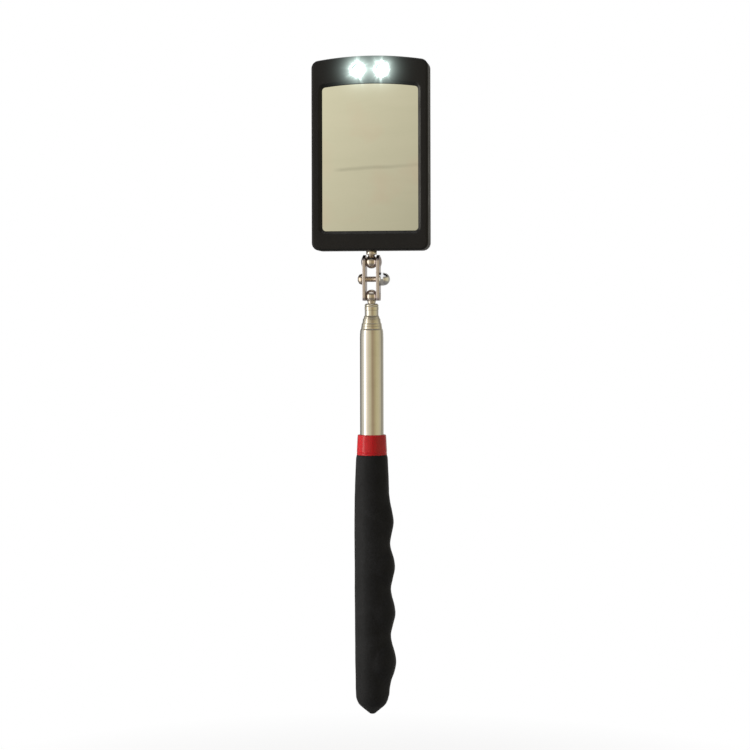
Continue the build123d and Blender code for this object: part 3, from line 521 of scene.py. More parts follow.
# every CAD node gets its slot's material; the "tip" slot shares the tube's metal
for node_name, obj in frame["nodes"].items():
    obj.data.materials.clear()
    obj.data.materials.append(MAT["tube" if SLOT[node_name] == "tip" else SLOT[node_name]])
    shade(obj.data, sharp=28)


# ------------------------------------------------------------------ grip
GRIP_TOP = box_mm("grip")[1][2]
GRIP_SEG = 180
# plain round body: (z, radius)
GRIP_BODY = [
    (0.0, 0.9), (0.45, 1.5), (0.9, 2.05), (2.45, 3.9), (4.2, 5.85), (6.0, 6.85), (7.8, 7.28),
    (16, 7.5), (35, 7.7), (56, 7.8), (80, 7.88), (96, 7.72), (108, 7.36), (113.2, 7.16),
    (114.6, 7.02), (115.5, 6.75)]
# finger swells on the +X side: (z, reach from the grip's axis)
GRIP_SWELL = [
    (5.0, 6.0), (8.2, 7.5), (11.6, 7.85), (15.0, 8.5), (18.8, 9.9), (22.9, 10.7),
    (27.2, 10.15), (31.4, 8.95), (35.2, 8.42), (39.2, 9.2), (44.3, 10.35), (48.6, 9.95),
    (52.4, 8.95), (56.2, 8.48), (60.2, 9.25), (65.2, 10.25), (69.5, 9.75), (73.0, 8.6),
    (76.1, 8.1), (80.0, 8.75), (85.2, 9.68), (89.6, 9.2), (94.0, 8.3), (98.5, 7.65),
    (103.0, 7.0)]
SWELL_Z0, SWELL_Z1 = GRIP_SWELL[0][0], GRIP_SWELL[-1][0]
SWELL_AXIS = 3.0                              # X of the axis the swells are round about
SWELL_BLEND = 0.5
# bore: (radius, z), from the rim down
GRIP_BORE = [
    (6.6, GRIP_TOP), (6.25, GRIP_TOP - 0.08), (6.18, GRIP_TOP - 0.3), (6.18, GRIP_TOP - 10.05),
    (5.28, GRIP_TOP - 10.05), (5.28, 9.95)]


def interp(table, z):
    """Smooth (Catmull-Rom) value of a table of (z, value)."""
    if z <= table[0][0]:
        return table[0][1]
    if z >= table[-1][0]:
        return table[-1][1]
    i = next(i for i in range(len(table) - 1) if z <= table[i + 1][0])
    z0, v0 = table[i]
    z1, v1 = table[i + 1]
    zm, vm = table[i - 1] if i > 0 else (z0 - (z1 - z0), v0)
    zp, vp = table[i + 2] if i + 2 < len(table) else (z1 + (z1 - z0), v1)
    m0 = (v1 - vm) / (z1 - zm) * (z1 - z0)
    m1 = (vp - v0) / (zp - z0) * (z1 - z0)
    t = (z - z0) / (z1 - z0)
    return ((2 * t ** 3 - 3 * t ** 2 + 1) * v0 + (t ** 3 - 2 * t ** 2 + t) * m0
            + (-2 * t ** 3 + 3 * t ** 2) * v1 + (t ** 3 - t ** 2) * m1)


def grip_radius(angle, z):
    body = interp(GRIP_BODY, z)
    reach = interp(GRIP_SWELL, z)
    swell = reach - SWELL_AXIS
    s, c = math.sin(angle), math.cos(angle)
    if not (SWELL_Z0 < z < SWELL_Z1 and swell > abs(SWELL_AXIS * s) + 0.05):
        return body
    swollen = SWELL_AXIS * c + math.sqrt(swell * swell - SWELL_AXIS * SWELL_AXIS * s * s)
    fade = min(1, (z - SWELL_Z0) / 4.0) * min(1, (SWELL_Z1 - z) / 6.0)
    blend = SWELL_BLEND * max(0.001, fade)
    # blending adds a little; take it off along +X so the crest keeps its measured reach
    excess = smooth_max(reach, body, blend) - max(reach, body)
    return smooth_max(swollen, body, blend) - excess * max(0.0, c) ** 4


def foam_radius(angle, z):
    """Grip radius with the unevenness of soft foam, which fades out at both ends."""
    radius = grip_radius(angle, z)
    x, y = math.cos(angle) * radius, math.sin(angle) * radius
    fade = min(1.0, z / 6.0) * min(1.0, (GRIP_TOP - z) / 4.0)
    coarse = Vector((x * 0.11, y * 0.11, z * 0.11))
    waves = noise.noise(coarse * 0.9) * 0.10 + noise.noise(coarse * 3.1) * 0.035
    pebbles = noise.noise(Vector((x, y, z)) * 1.3) * 0.018
    return radius + fade * (waves + pebbles)


def build_grip():
    levels = [0.12, 0.3, 0.5, 0.75, 1.05, 1.4, 1.8, 2.3, 2.8, 3.3, 3.8, 4.3, 4.8, 5.3, 5.8]
    z = 6.4
    while z < 114.2:
        levels.append(z)
        z += 0.6
    levels += [114.4, 114.8, 115.1, 115.3, 115.42, 115.5]
    angles = [2 * math.pi * k / GRIP_SEG for k in range(GRIP_SEG)]
    bm = bmesh.new()
    rings = []

    def add_ring(radii, z):
        rings.append([bm.verts.new((math.cos(t) * r * MM, math.sin(t) * r * MM, z * MM))
                      for t, r in zip(angles, radii)])

    pole = bm.verts.new((0, 0, 0))
    for z in levels:
        add_ring([foam_radius(t, z) for t in angles], z)
    for k in range(GRIP_SEG):
        bm.faces.new((pole, rings[0][(k + 1) % GRIP_SEG], rings[0][k]))
    for radius, z in GRIP_BORE:
        add_ring([radius] * GRIP_SEG, z)
    for a, b in zip(rings[:-1], rings[1:]):
        bridge(bm, a, b)
    bore_end = bm.verts.new((0, 0, GRIP_BORE[-1][1] * MM))
    for k in range(GRIP_SEG):
        bm.faces.new((rings[-1][k], rings[-1][(k + 1) % GRIP_SEG], bore_end))
    finish_mesh("soft_grip", bm, "grip", "handle", "grip", sharp=60)


build_grip()

# ------------------------------------------------------------------ collar
collar_lo, collar_hi = box_mm("red_collar")
COLLAR_TOP = collar_hi[2]
SHOULDER = 115.52                             # underside of the visible part
SPIGOT_R, COLLAR_BORE_R = 6.15, 5.27
lathe("collar_ring", rounded([
    (COLLAR_BORE_R, collar_lo[2]), (SPIGOT_R, collar_lo[2], 0.15), (SPIGOT_R, SHOULDER),
    (6.72, SHOULDER, 0.18), (6.75, SHOULDER + 0.9, 0.3), (6.62, SHOULDER + 1.15, 0.2),
    (6.74, SHOULDER + 1.5, 0.2), (6.46, COLLAR_TOP - 2.0, 1.5), (6.32, COLLAR_TOP - 0.42, 1.15),
    (5.60, COLLAR_TOP - 0.42, 0.25), (COLLAR_BORE_R, COLLAR_TOP - 0.8, 0.12)], 8),
    "collar", "handle", "red_collar", seg=128, sharp=40)

# ------------------------------------------------------------------ tubes
TUBE_R = [5.25 - 0.55 * i for i in range(5)]  # each tube slides in the one before
WALL = 0.35
LIP_GAP = 0.05                                # between a rolled lip and the next tube
# object, node, body, material, segments, then the rolled nose from below up as
# (inset from the outer radius, depth below the mouth, fillet)
NOSED_TUBES = [
    ("outer_tube_drawn", "outer_tube", "handle", "tube", 128, [
        (0, 3.7, 0.5), (0.06, 3.1, 0.3), (0.03, 2.6, 0.5), (0.07, 1.98, 0.4),
        (0.14, 1.58, 0.25), (0.11, 1.24, 0.4), (0.21, 0.62, 0.5), (0.38, 0, 0.22)]),
    ("section_1_drawn", "section_1_tube", "section_1", "nose", 128, [
        (0, 2.45, 0.6), (0.06, 2.05, 0.4), (0.13, 1.40, 0.3), (0.21, 1.16, 0.2),
        (0.18, 0.92, 0.3), (0.34, 0, 0.2)]),
    ("section_2_drawn", "section_2_tube", "section_2", "nose", 112, [
        (0, 2.1, 0.5), (0.10, 1.6, 0.3), (0.17, 1.12, 0.2), (0.24, 0.90, 0.15),
        (0.20, 0.68, 0.2), (0.34, 0, 0.2)]),
    ("section_3_drawn", "section_3_tube", "section_3", "nose", 112, [
        (0, 1.3, 0.4), (0.14, 0.7, 0.2), (0.34, 0, 0.16)]),
]


def z_span(node):
    lo, hi = box_mm(node)
    return lo[2], hi[2]


for i, (name, node, body, mat, seg, nose) in enumerate(NOSED_TUBES):
    outer, bore, lip = TUBE_R[i], TUBE_R[i] - WALL, TUBE_R[i + 1] + LIP_GAP
    bottom, mouth = z_span(node)
    lathe(name, rounded(
        [(bore, bottom, 0.06), (outer, bottom, 0.06)]
        + [(outer - inset, mouth - depth, fillet) for inset, depth, fillet in nose]
        + [(lip, mouth, 0.07), (lip, mouth - 0.8, 0.05), (bore, mouth - 1.15, 0.1)], 4),
        mat, body, node, seg=seg)

# the thinnest tube is plain
outer, bore = TUBE_R[4], TUBE_R[4] - WALL
bottom, mouth = z_span("section_4_tube")
lathe("section_4_drawn", rounded([
    (bore, bottom, 0.05), (outer, bottom, 0.06), (outer, mouth, 0.08), (bore, mouth, 0.05)], 4),
    "tube", "section_4", "section_4_tube")

TIP_R, FLANGE_R, TIP_BORE_R = 2.68, 3.12, 1.23
FLANGE_Z, TIP_TOP = 180.12, 183.1
tip_z = z_span("tip_fitting")[0]
lathe("tip_flange", rounded([
    (0, tip_z), (TIP_R, tip_z, 0.2), (TIP_R, FLANGE_Z), (3.10, FLANGE_Z, 0.12),
    (FLANGE_R, 181.62, 0.12), (2.98, 181.90, 0.12), (FLANGE_R, 182.15, 0.15),
    (3.05, 182.6, 0.4), (2.55, TIP_TOP, 0.5), (TIP_BORE_R, TIP_TOP, 0.06),
    (TIP_BORE_R, tip_z + 2.0), (0, tip_z + 2.0)], 6),
    "nose", "section_4", "tip_fitting")

# ------------------------------------------------------------------ balls
LOWER_Z, UPPER_Z = 186.4, 201.7               # ball centres
BALL_R = 2.95


def neck_angle(neck_radius):
    """Degrees from the ball's pole to where a neck of this radius meets the ball."""
    return math.degrees(math.asin(neck_radius / BALL_R))


LOWER_NECK_R, LOWER_STUD_R = 1.75, 1.2
stud_z = z_span("lower_ball_stud")[0]
lathe("lower_ball", rounded([
    (0, stud_z), (LOWER_STUD_R, stud_z, 0.15), (LOWER_STUD_R, 183.15),
    (LOWER_NECK_R - 0.05, 183.15, 0.1), (LOWER_NECK_R, 183.45, 0.2)], 4)
    + arc(0, LOWER_Z, BALL_R, -90 + neck_angle(LOWER_NECK_R) + 4, 90, 40),
    "ball", "lower_ball", "lower_ball_stud")

UPPER_NECK_R = 1.5
stud_z = z_span("upper_ball_stud")[1]
lathe("upper_ball", arc(0, UPPER_Z, BALL_R, -90, 90 - neck_angle(UPPER_NECK_R) - 3, 40)
      + rounded([
          (UPPER_NECK_R, 204.5, 0.2), (UPPER_NECK_R + 0.02, 204.95, 0.15), (2.25, 204.95, 0.1),
          (2.4, 205.2, 0.15), (2.4, 206.64, 0.1), (1.5, 206.66), (1.5, stud_z - 0.3, 0.1),
          (1.2, stud_z, 0.1), (0, stud_z)], 4),
      "ball", "upper_ball", "upper_ball_stud")

# ------------------------------------------------------------------ clamp plates
PLATE_IN, PLATE_OUT = 2.4, 3.8                # distance of the plate faces from x = 0
PLATE_R, PLATE_CUT = 3.1, 2.0                 # half width, depth of the flat end below the ball
OUT_EDGE, IN_EDGE = 0.32, 0.15                # edge rounding radii
SEAT_R, SEAT_SEG = 1.3, 40                    # hole over the lower ball
SINK_R, SINK_SLOPE, SINK_DEPTH = 1.75, 0.85, 0.35    # countersink around that hole
DOME_SPHERE_R, DOME_R, DOME_FOOT_R = 4.65, 2.6, 2.95
SOCKET_SPHERE_R, SOCKET_R = 2.99, 1.78


def plate_outline(inset):
    """Outline in (y, z), with the same point count for every inset."""
    radius, cut = PLATE_R - inset, PLATE_CUT - inset
    corner = math.asin(cut / radius)
    half_flat = radius * math.cos(corner)
    corner = math.degrees(corner)
    flat_z = LOWER_Z - cut
    return (arc(0, LOWER_Z, radius, -corner, 0, 12)
            + line((radius, LOWER_Z), (radius, UPPER_Z), 24)[1:]
            + arc(0, UPPER_Z, radius, 0, 180, 48)
            + line((-radius, UPPER_Z), (-radius, LOWER_Z), 24)[1:]
            + arc(0, LOWER_Z, radius, 180, 180 + corner, 12)
            + line((-half_flat, flat_z), (half_flat, flat_z), 12)[1:])


def outer_x(y, z):
    """Outer face: a dome over the upper ball and a countersunk hole over the lower one."""
    from_upper = math.hypot(y, z - UPPER_Z)
    from_lower = math.hypot(y, z - LOWER_Z)
    if from_lower < SINK_R:
        return PLATE_OUT - min(SINK_DEPTH, (SINK_R - from_lower) * SINK_SLOPE)
    if from_upper < DOME_R:
        sphere = math.sqrt(DOME_SPHERE_R ** 2 - from_upper ** 2)
        return smooth_max(sphere, PLATE_OUT, 0.25) - 0.02
    if from_upper < DOME_FOOT_R:
        return PLATE_OUT + (DOME_FOOT_R - from_upper) / 0.35 * 0.045
    return PLATE_OUT


def inner_x(y, z):
    """Inner face: a spherical socket at each ball."""
    rho = min(math.hypot(y, z - UPPER_Z), math.hypot(y, z - LOWER_Z))
    return math.sqrt(SOCKET_SPHERE_R ** 2 - rho ** 2) if rho < SOCKET_R else PLATE_IN


def ring_points(centre_z, radius, stagger=0.0):
    """Circle of points in (y, z); every second one is moved on by stagger steps."""
    angles = [2 * math.pi * (i + stagger * (i % 2)) / SEAT_SEG for i in range(SEAT_SEG)]
    return [(radius * math.cos(t), centre_z + radius * math.sin(t)) for t in angles]


def face_points():
    """Points that carry the relief of a face: rings at both balls and a grid between them."""
    points = []
    for centre_z, radii in (
            (UPPER_Z, [0.35, 0.7, 1.05, 1.4, 1.70, 1.79, 2.0, 2.25, 2.5, 2.65]),
            (LOWER_Z, [1.42, 1.56, 1.70, 1.79])):
        for radius in radii:
            points += ring_points(centre_z, radius, stagger=0.5)
    points.append((0, UPPER_Z))
    y = -2.4
    while y <= 2.41:
        z = LOWER_Z - 1.2
        while z < UPPER_Z + 2.4:
            if math.hypot(y, z - LOWER_Z) > 2.1 and math.hypot(y, z - UPPER_Z) > 2.85:
                points.append((y, z))
            z += 0.6
        y += 0.6
    return points


def inside(point, loop):
    """Even-odd test of a point against a closed loop."""
    result = False
    for p, q in zip(loop, loop[-1:] + loop[:-1]):
        if (p.y > point.y) != (q.y > point.y) and \
                point.x < (q.x - p.x) * (point.y - p.y) / (q.y - p.y) + p.x:
            result = not result
    return result


def plate_face(bm, side, outline, face_x):
    """Triangulate one face; returns the vertices of its outline and of its hole."""
    count = len(outline)
    fixed = count + SEAT_SEG
    points = [Vector(p) for p in outline + ring_points(LOWER_Z, SEAT_R) + face_points()]
    edges = [(i, (i + 1) % count) for i in range(count)]
    edges += [(count + i, count + (i + 1) % SEAT_SEG) for i in range(SEAT_SEG)]
    places, _, faces, origins, _, _ = delaunay_2d_cdt(points, edges, [], 0, 1e-5)
    verts = [bm.verts.new((side * face_x(p.x, p.y) * MM, p.x * MM, p.y * MM)) for p in places]
    index = {}
    for i, sources in enumerate(origins):
        for source in sources:
            if source < fixed:
                index[source] = i
    loop = points[:count]
    rim = {index[i] for i in range(count, fixed)}
    for face in faces:
        middle = sum((places[i] for i in face), Vector((0, 0))) / len(face)
        in_hole = math.hypot(middle.x, middle.y - LOWER_Z) < SEAT_R - 0.015
        if in_hole or not inside(middle, loop):
            continue
        if all(i in rim for i in face):       # a sliver that would span the hole
            continue
        bm.faces.new([verts[i] for i in face])
    edge = [verts[index[i]] for i in range(count)]
    hole = [verts[index[i]] for i in range(count, fixed)]
    for v in [v for v in verts if not v.link_faces]:
        if v not in edge and v not in hole:
            bm.verts.remove(v)
    return edge, hole


def build_plate(name, side, node):
    """Pressed plate with rounded edges; side is +1 for +X, -1 for -X."""
    bm = bmesh.new()

    def ring(inset, x):
        return [bm.verts.new((side * x * MM, y * MM, z * MM)) for y, z in plate_outline(inset)]

    outer_edge, outer_hole = plate_face(bm, side, plate_outline(OUT_EDGE), outer_x)
    inner_edge, inner_hole = plate_face(bm, side, plate_outline(IN_EDGE), inner_x)
    rings = [outer_edge]
    for k in range(1, 6):
        t = math.radians(90 * k / 5)
        rings.append(ring(OUT_EDGE - OUT_EDGE * math.sin(t),
                          PLATE_OUT - OUT_EDGE + OUT_EDGE * math.cos(t)))
    for k in range(3):
        t = math.radians(90 * k / 3)
        rings.append(ring(IN_EDGE - IN_EDGE * math.cos(t),
                          PLATE_IN + IN_EDGE - IN_EDGE * math.sin(t)))
    rings.append(inner_edge)
    for a, b in zip(rings[:-1], rings[1:]):
        bridge(bm, a, b)
    bridge(bm, outer_hole, inner_hole)
    finish_mesh(name, bm, "plate", "clamp", node, sharp=38)


build_plate("pressed_plate_right", 1, "clamp_plate_right")
build_plate("pressed_plate_left", -1, "clamp_plate_left")

# ------------------------------------------------------------------ clamp screw, washer, nut
SCREW_Z = 194.0
SCREW_CENTRE = (0, 0, SCREW_Z)
SCREW_R, ROOT_R, HEAD_R = 1.25, 1.15, 2.45
THREAD_PITCH = 0.45
# cross recess in the screw's head
SLOT_WIDTH, SLOT_LENGTH, SLOT_DEPTH = 0.5, 2.6, 1.15
LENGTH_TAPER, WIDTH_SCALE = 0.55, 0.9


def recess_cutter(head_x, along_y):
    """One arm of the cross recess: its length narrows towards the bottom."""
    bm = bmesh.new()
    verts = []
    for x, taper in ((head_x - 0.5, 1.0), (head_x + SLOT_DEPTH, LENGTH_TAPER)):
        size = (SLOT_LENGTH / 2 * taper, SLOT_WIDTH / 2 * WIDTH_SCALE)
        half_y, half_z = size if along_y else size[::-1]
        for sy, sz in ((-1, -1), (1, -1), (1, 1), (-1, 1)):
            verts.append(bm.verts.new((x * MM, sy * half_y * MM, (SCREW_Z + sz * half_z) * MM)))
    for face in ((0, 1, 2, 3), (7, 6, 5, 4), (0, 4, 5, 1), (1, 5, 6, 2), (2, 6, 7, 3),
                 (3, 7, 4, 0)):
        bm.faces.new([verts[i] for i in face])
    return new_object("cutter", bm)


def build_screw():
    """Pan head at -X, rolled thread between the plates."""
    lo, hi = box_mm("clamp_screw")
    head_x, end_x = lo[0], hi[0]
    under_head = -PLATE_OUT - 0.02
    head = rounded([
        (0, head_x), (0.9, head_x, 0.6), (2.05, head_x + 0.62, 0.8),
        (HEAD_R, head_x + 1.75, 0.5), (HEAD_R, under_head, 0.12), (SCREW_R, under_head)], 6)
    thread = [(SCREW_R, -PLATE_IN - 0.05)]
    x = -PLATE_IN + 0.1
    while x < PLATE_IN - 0.25:
        thread += [(ROOT_R, x), (1.22, x + 0.12), (SCREW_R, x + 0.20), (1.22, x + 0.30)]
        x += THREAD_PITCH
    end = rounded([(SCREW_R, PLATE_IN + 0.1), (SCREW_R, end_x - 0.3, 0.1), (1.0, end_x, 0.1),
                   (0, end_x)], 4)
    screw = lathe("pan_head_screw", head + thread + end, "screw", "clamp", "clamp_screw",
                  axis="X", centre=SCREW_CENTRE, sharp=35)
    subtract(screw, [recess_cutter(head_x, along_y) for along_y in (False, True)], sharp=35)


def build_washer():
    lo, hi = box_mm("clamp_washer")
    bore, outer = 1.33, 3.1
    lathe("flat_washer", rounded([
        (bore, lo[0], 0.04), (outer, lo[0], 0.08), (outer, hi[0], 0.12), (bore, hi[0], 0.06)], 4),
        "cap_nut", "clamp", "clamp_washer", axis="X", centre=SCREW_CENTRE)


def build_nut():
    """Acorn nut: hexagonal base with turned-off corners, neck groove and polished dome."""
    seg, bore, hex_r, dome_r, base_height = 144, 1.27, 3.3, 2.8, 1.5
    lo, hi = box_mm("clamp_cap_nut")
    x0, x1 = lo[0], hi[0]
    bm = lathe_bm(rounded([
        (bore, x0 + 0.02), (2.88, x0 + 0.02, 0.1), (hex_r, x0 + 0.26, 0.1),
        (hex_r, x0 + 1.12, 0.1), (2.80, x0 + 1.46, 0.08), (2.62, x0 + base_height)], 4)
        + arc(0, x1 - dome_r, dome_r, 9, 90, 30), seg, "X", SCREW_CENTRE)
    # the first ring is the rim of the bore; one face closes it
    bm.faces.new(sorted(list(bm.verts)[:seg],
                        key=lambda v: math.atan2(v.co.z - SCREW_Z * MM, v.co.y)))
    flat = hex_r * math.cos(math.radians(30))
    for v in bm.verts:                        # press the six flats into the base
        if v.co.x / MM - x0 >= base_height:
            continue
        y, z = v.co.y / MM, v.co.z / MM - SCREW_Z
        radius = math.hypot(y, z)
        from_flat = (math.atan2(z, y) % (math.pi / 3)) - math.pi / 6
        limit = flat / math.cos(from_flat)
        if radius > 2.7 and radius > limit:
            v.co.y = y * (limit / radius) * MM
            v.co.z = (z * (limit / radius) + SCREW_Z) * MM
    finish_mesh("acorn_nut", bm, "cap_nut", "clamp", "clamp_cap_nut", sharp=30)


build_screw()
build_washer()
build_nut()

# ------------------------------------------------------------------ mirror head
head_lo, head_hi = box_mm("front_bezel")
FRONT = head_lo[1]                            # Y of the bezel's front face
GLASS = box_mm("mirror_glass")[0][1]          # Y of the glass's front face
# sag is the rise of the arched top over the full width
HEAD = dict(half_width=head_hi[0], bottom=head_lo[2], top=head_hi[2], sag=2.3, corner=3.5)
WINDOW = dict(half_width=21.5, bottom=215.4, top=280.8, sag=1.55, corner=1.6)
MIN_CORNER = 0.25
BOTTOM_STEPS, SIDE_STEPS, CORNER_STEPS, TOP_STEPS = 24, 30, 10, 40
FRONT_EDGE = 1.1                              # rounding of the front's outer edge
BEVEL_WIDTH, BEVEL_DEPTH = 1.35, 2.2          # slope from the front face in to the glass
SOFT_EDGE, SOFT_INSET = 0.35, 0.22            # rounding where that slope starts


def arched_outline(inset, half_width, bottom, top, sag, corner):
    """Outline in (x, z) with an arched top, with the same point count for every inset."""
    arch = (half_width ** 2 + sag ** 2) / (2 * sag)
    arch_z = top - arch
    half_width, bottom, arch = half_width - inset, bottom + inset, arch - inset
    corner = max(corner - inset, MIN_CORNER)
    cx, low_z = half_width - corner, bottom + corner
    high_z = arch_z + math.sqrt((arch - corner) ** 2 - cx ** 2)
    tilt = math.degrees(math.atan2(high_z - arch_z, cx))
    return (line((-cx, bottom), (cx, bottom), BOTTOM_STEPS)
            + arc(cx, low_z, corner, -90, 0, CORNER_STEPS)[:-1]
            + line((half_width, low_z), (half_width, high_z), SIDE_STEPS)
            + arc(cx, high_z, corner, 0, tilt, CORNER_STEPS)[:-1]
            + arc(0, arch_z, arch, tilt, 180 - tilt, TOP_STEPS)[:-1]
            + arc(-cx, high_z, corner, 180 - tilt, 180, CORNER_STEPS)[:-1]
            + line((-half_width, high_z), (-half_width, low_z), SIDE_STEPS)
            + arc(-cx, low_z, corner, 180, 270, CORNER_STEPS)[:-1])


def head_loop(inset):
    return arched_outline(inset, **HEAD)


def window_loop(outset):
    return arched_outline(-outset, **WINDOW)


def bezel_loops():
    """(outline, y) stations: from the back, round the front, in to the glass and back again."""
    loops = [(head_loop(0.30), 0.0), (head_loop(0.08), -0.07), (head_loop(0.0), -0.28),
             (head_loop(0.0), -2.5)]
    for i in range(9):
        t = math.radians(90 * i / 8)
        loops.append((head_loop(FRONT_EDGE * (1 - math.cos(t))),
                      FRONT + FRONT_EDGE - FRONT_EDGE * math.sin(t)))
    turn = math.pi / 2 - math.atan2(BEVEL_WIDTH, BEVEL_DEPTH)
    for i in range(6):
        t = turn * (i / 5)
        loops.append((window_loop(BEVEL_WIDTH + SOFT_INSET - SOFT_EDGE * math.sin(t)),
                      FRONT + SOFT_EDGE * (1 - math.cos(t))))
    # window edge, then the pocket behind it
    return loops + [
        (window_loop(0.10), GLASS - 0.20), (window_loop(0.02), GLASS - 0.10),
        (window_loop(0.0), GLASS - 0.03), (window_loop(1.30), GLASS - 0.02),
        (window_loop(1.30), 0.0)]


def build_bezel():
    bm = bmesh.new()
    rings = [[bm.verts.new((x * MM, y * MM, z * MM)) for x, z in outline]
             for outline, y in bezel_loops()]
    for a, b in zip(rings, rings[1:] + rings[:1]):
        bridge(bm, a, b)
    bezel = finish_mesh("bezel_frame", bm, "housing", "mirror_head", "front_bezel", sharp=40)
    # flared lamp hole: (radius, y)
    lamp_hole = [(0, -7.5), (4.15, -7.5), (4.15, FRONT - 0.01), (3.95, FRONT + 0.02),
                 (3.80, FRONT + 0.10), (3.70, FRONT + 0.22), (2.75, -5.05), (2.62, -4.8),
                 (2.62, 0.5), (0, 0.5)]
    stud_hole = [(0, 206.0), (1.55, 206.0), (1.55, 215.0), (0, 215.0)]    # (radius, z)
    cutters = [new_object("cutter", lathe_bm(lamp_hole, 72, "Y", (x, 0, LAMP_Z)))
               for x in (-LAMP_X, LAMP_X)]
    # a pocket behind the lamps, the hole for the upper stud and a pocket above that hole's foot
    cutters.append(box_cutter(size=(36.5, 5.1, 8.4), centre=(0, -2.05, 287.0)))
    cutters.append(new_object("cutter", lathe_bm(stud_hole, 50)))
    cutters.append(box_cutter(size=(20, 5.0, 4.6), centre=(0, -2.0, 210.55)))
    subtract(bezel, cutters, sharp=40)


build_bezel()

LENS_R, LENS_FLANGE_R = 2.5, 2.9
for side, x in (("left", -LAMP_X), ("right", LAMP_X)):
    node = "led_" + side
    lens = arc(0, box_mm(node)[0][1] + LENS_R, LENS_R, -90, 0, 16)
    lens += rounded([(LENS_R, 0.3), (LENS_FLANGE_R, 0.3, 0.08), (LENS_FLANGE_R, 1.2, 0.12),
                     (0, 1.2)], 3)
    lathe("lamp_" + side, lens, "lamp", "mirror_head", node, seg=72, axis="Y",
          centre=(x, 0, LAMP_Z))


# ------------------------------------------------------------------ world
# reflected room: (azimuth in degrees from -Y, positive towards +X; colour)
ROOM = [
    (-180, (0.40, 0.385, 0.35)), (-160, (0.20, 0.195, 0.18)), (-140, (0.13, 0.125, 0.115)),
    (-124, (0.30, 0.29, 0.26)), (-104, (0.62, 0.59, 0.53)), (-84, (0.78, 0.75, 0.67)),
    (-72, (1.1, 1.06, 0.96)), (-67, (3.1, 3.0, 2.75)), (-56, (3.1, 2.98, 2.7)),
    (-49, (1.15, 1.06, 0.92)), (-26, (0.80, 0.70, 0.56)), (-10, (0.66, 0.618, 0.436)),
    (-5, (0.64, 0.595, 0.417)), (4, (0.52, 0.43, 0.29)), (18, (0.40, 0.31, 0.20)),
    (38, (0.50, 0.42, 0.25)), (58, (0.60, 0.54, 0.33)), (80, (0.62, 0.56, 0.37)),
    (104, (0.55, 0.51, 0.39)), (122, (0.30, 0.28, 0.23)), (142, (0.42, 0.40, 0.35)),
    (160, (0.55, 0.53, 0.48)), (180, (0.40, 0.385, 0.35))]
CEILING, OVERHEAD = (0.22, 0.20, 0.17), (0.95, 0.94, 0.92)
BENCH, BENCH_TINT, BENCH_LIFT = (0.28, 0.265, 0.245), (0.44, 0.44, 0.46), (0.07, 0.065, 0.06)
SOFT_RIGHT, SOFT_LEFT, SOFT_TOP = (0.52, 0.52, 0.525), (1.35, 1.34, 1.3), (0.55, 0.55, 0.55)


def build_world():
    """Metal reflects the room, other surfaces get soft light, the camera sees white."""
    world = bpy.data.worlds.new("studio")
    bpy.context.scene.world = world
    world.use_nodes = True
    world.node_tree.nodes.clear()
    g = Graph(world.node_tree)
    output = g.node("OutputWorld")
    way = g.node("SeparateXYZ", {0: g.node("TexCoord").outputs["Generated"]}).outputs
    azimuth = g.math("ARCTAN2", way["X"], g.math("MULTIPLY", way["Y"], -1.0))
    height = way["Z"]
    band = g.ramp(g.remap(azimuth, to=(0.0, 1.0), over=(-math.pi, math.pi)),
                  [((degrees + 180.0) / 360.0, colour) for degrees, colour in ROOM])
    # a band of dim ceiling, a bright overhead panel, and a brown-grey bench below
    room = g.mix(band, CEILING, g.remap(height, to=(0.0, 1.0), over=(0.30, 0.48)))
    room = g.mix(room, OVERHEAD, g.remap(height, to=(0.0, 1.0), over=(0.70, 0.84)))
    bench = g.mix(BENCH, band, g.remap(height, to=(0.0, 0.5), over=(-0.97, -0.80)))
    bench = g.mix(bench, BENCH_TINT, 1.0, "MULTIPLY")
    bench = g.mix(bench, BENCH_LIFT, 1.0, "ADD")
    room = g.mix(room, bench, g.remap(height, to=(1.0, 0.0), over=(-0.62, -0.28)))
    # soft room light, stronger from -X
    soft = g.mix(SOFT_RIGHT, SOFT_LEFT, g.remap(azimuth, to=(1.0, 0.0), over=(-1.7, 0.5)))
    soft = g.mix(soft, SOFT_TOP, g.remap(height, to=(0.0, 1.0), over=(0.2, 1.0)))

    def background(colour, strength):
        return g.node("Background", {"Color": colour, "Strength": strength}).outputs[0]

    reflected = background(room, strength=1.0)
    diffuse = background(soft, strength=0.55)
    white = background((1, 1, 1), strength=1.0)
    ray = g.node("LightPath").outputs
    lit = g.node("MixShader", {0: ray["Is Glossy Ray"], 1: diffuse, 2: reflected}).outputs[0]
    final = g.node("MixShader", {0: ray["Is Camera Ray"], 1: lit, 2: white}).outputs[0]
    g.feed(output, {0: final})


build_world()


# ------------------------------------------------------------------ floor
def floor_material():
    """White to the camera, except for the soft shadow near the product."""
    mat, g, shader = new_material("floor_pale")
    g.feed(shader, {"Base Color": (0.88, 0.88, 0.88), "Roughness": 0.9})
    white = g.node("Emission", {"Color": (1, 1, 1)}).outputs[0]
    place = g.node("TexCoord").outputs["Object"]
    distance = g.node("VectorMath", {0: place}, operation="LENGTH").outputs["Value"]
    near = g.remap(distance, to=(0.55, 0.0), over=(0.02, 0.28))
    mottle = g.noise(g.coords(), scale=0.02, detail=3)
    g.feed(shader, {"Roughness": g.remap(mottle, to=(0.85, 0.95), over=(0.3, 0.7))})
    camera_ray = g.node("LightPath").outputs["Is Camera Ray"]
    share = g.math("MULTIPLY", camera_ray, g.math("SUBTRACT", 1.0, near))
    mixed = g.node("MixShader", {0: share, 1: shader.outputs[0], 2: white}).outputs[0]
    output = next(n for n in mat.node_tree.nodes if n.type == "OUTPUT_MATERIAL")
    g.feed(output, {0: mixed})
    return mat


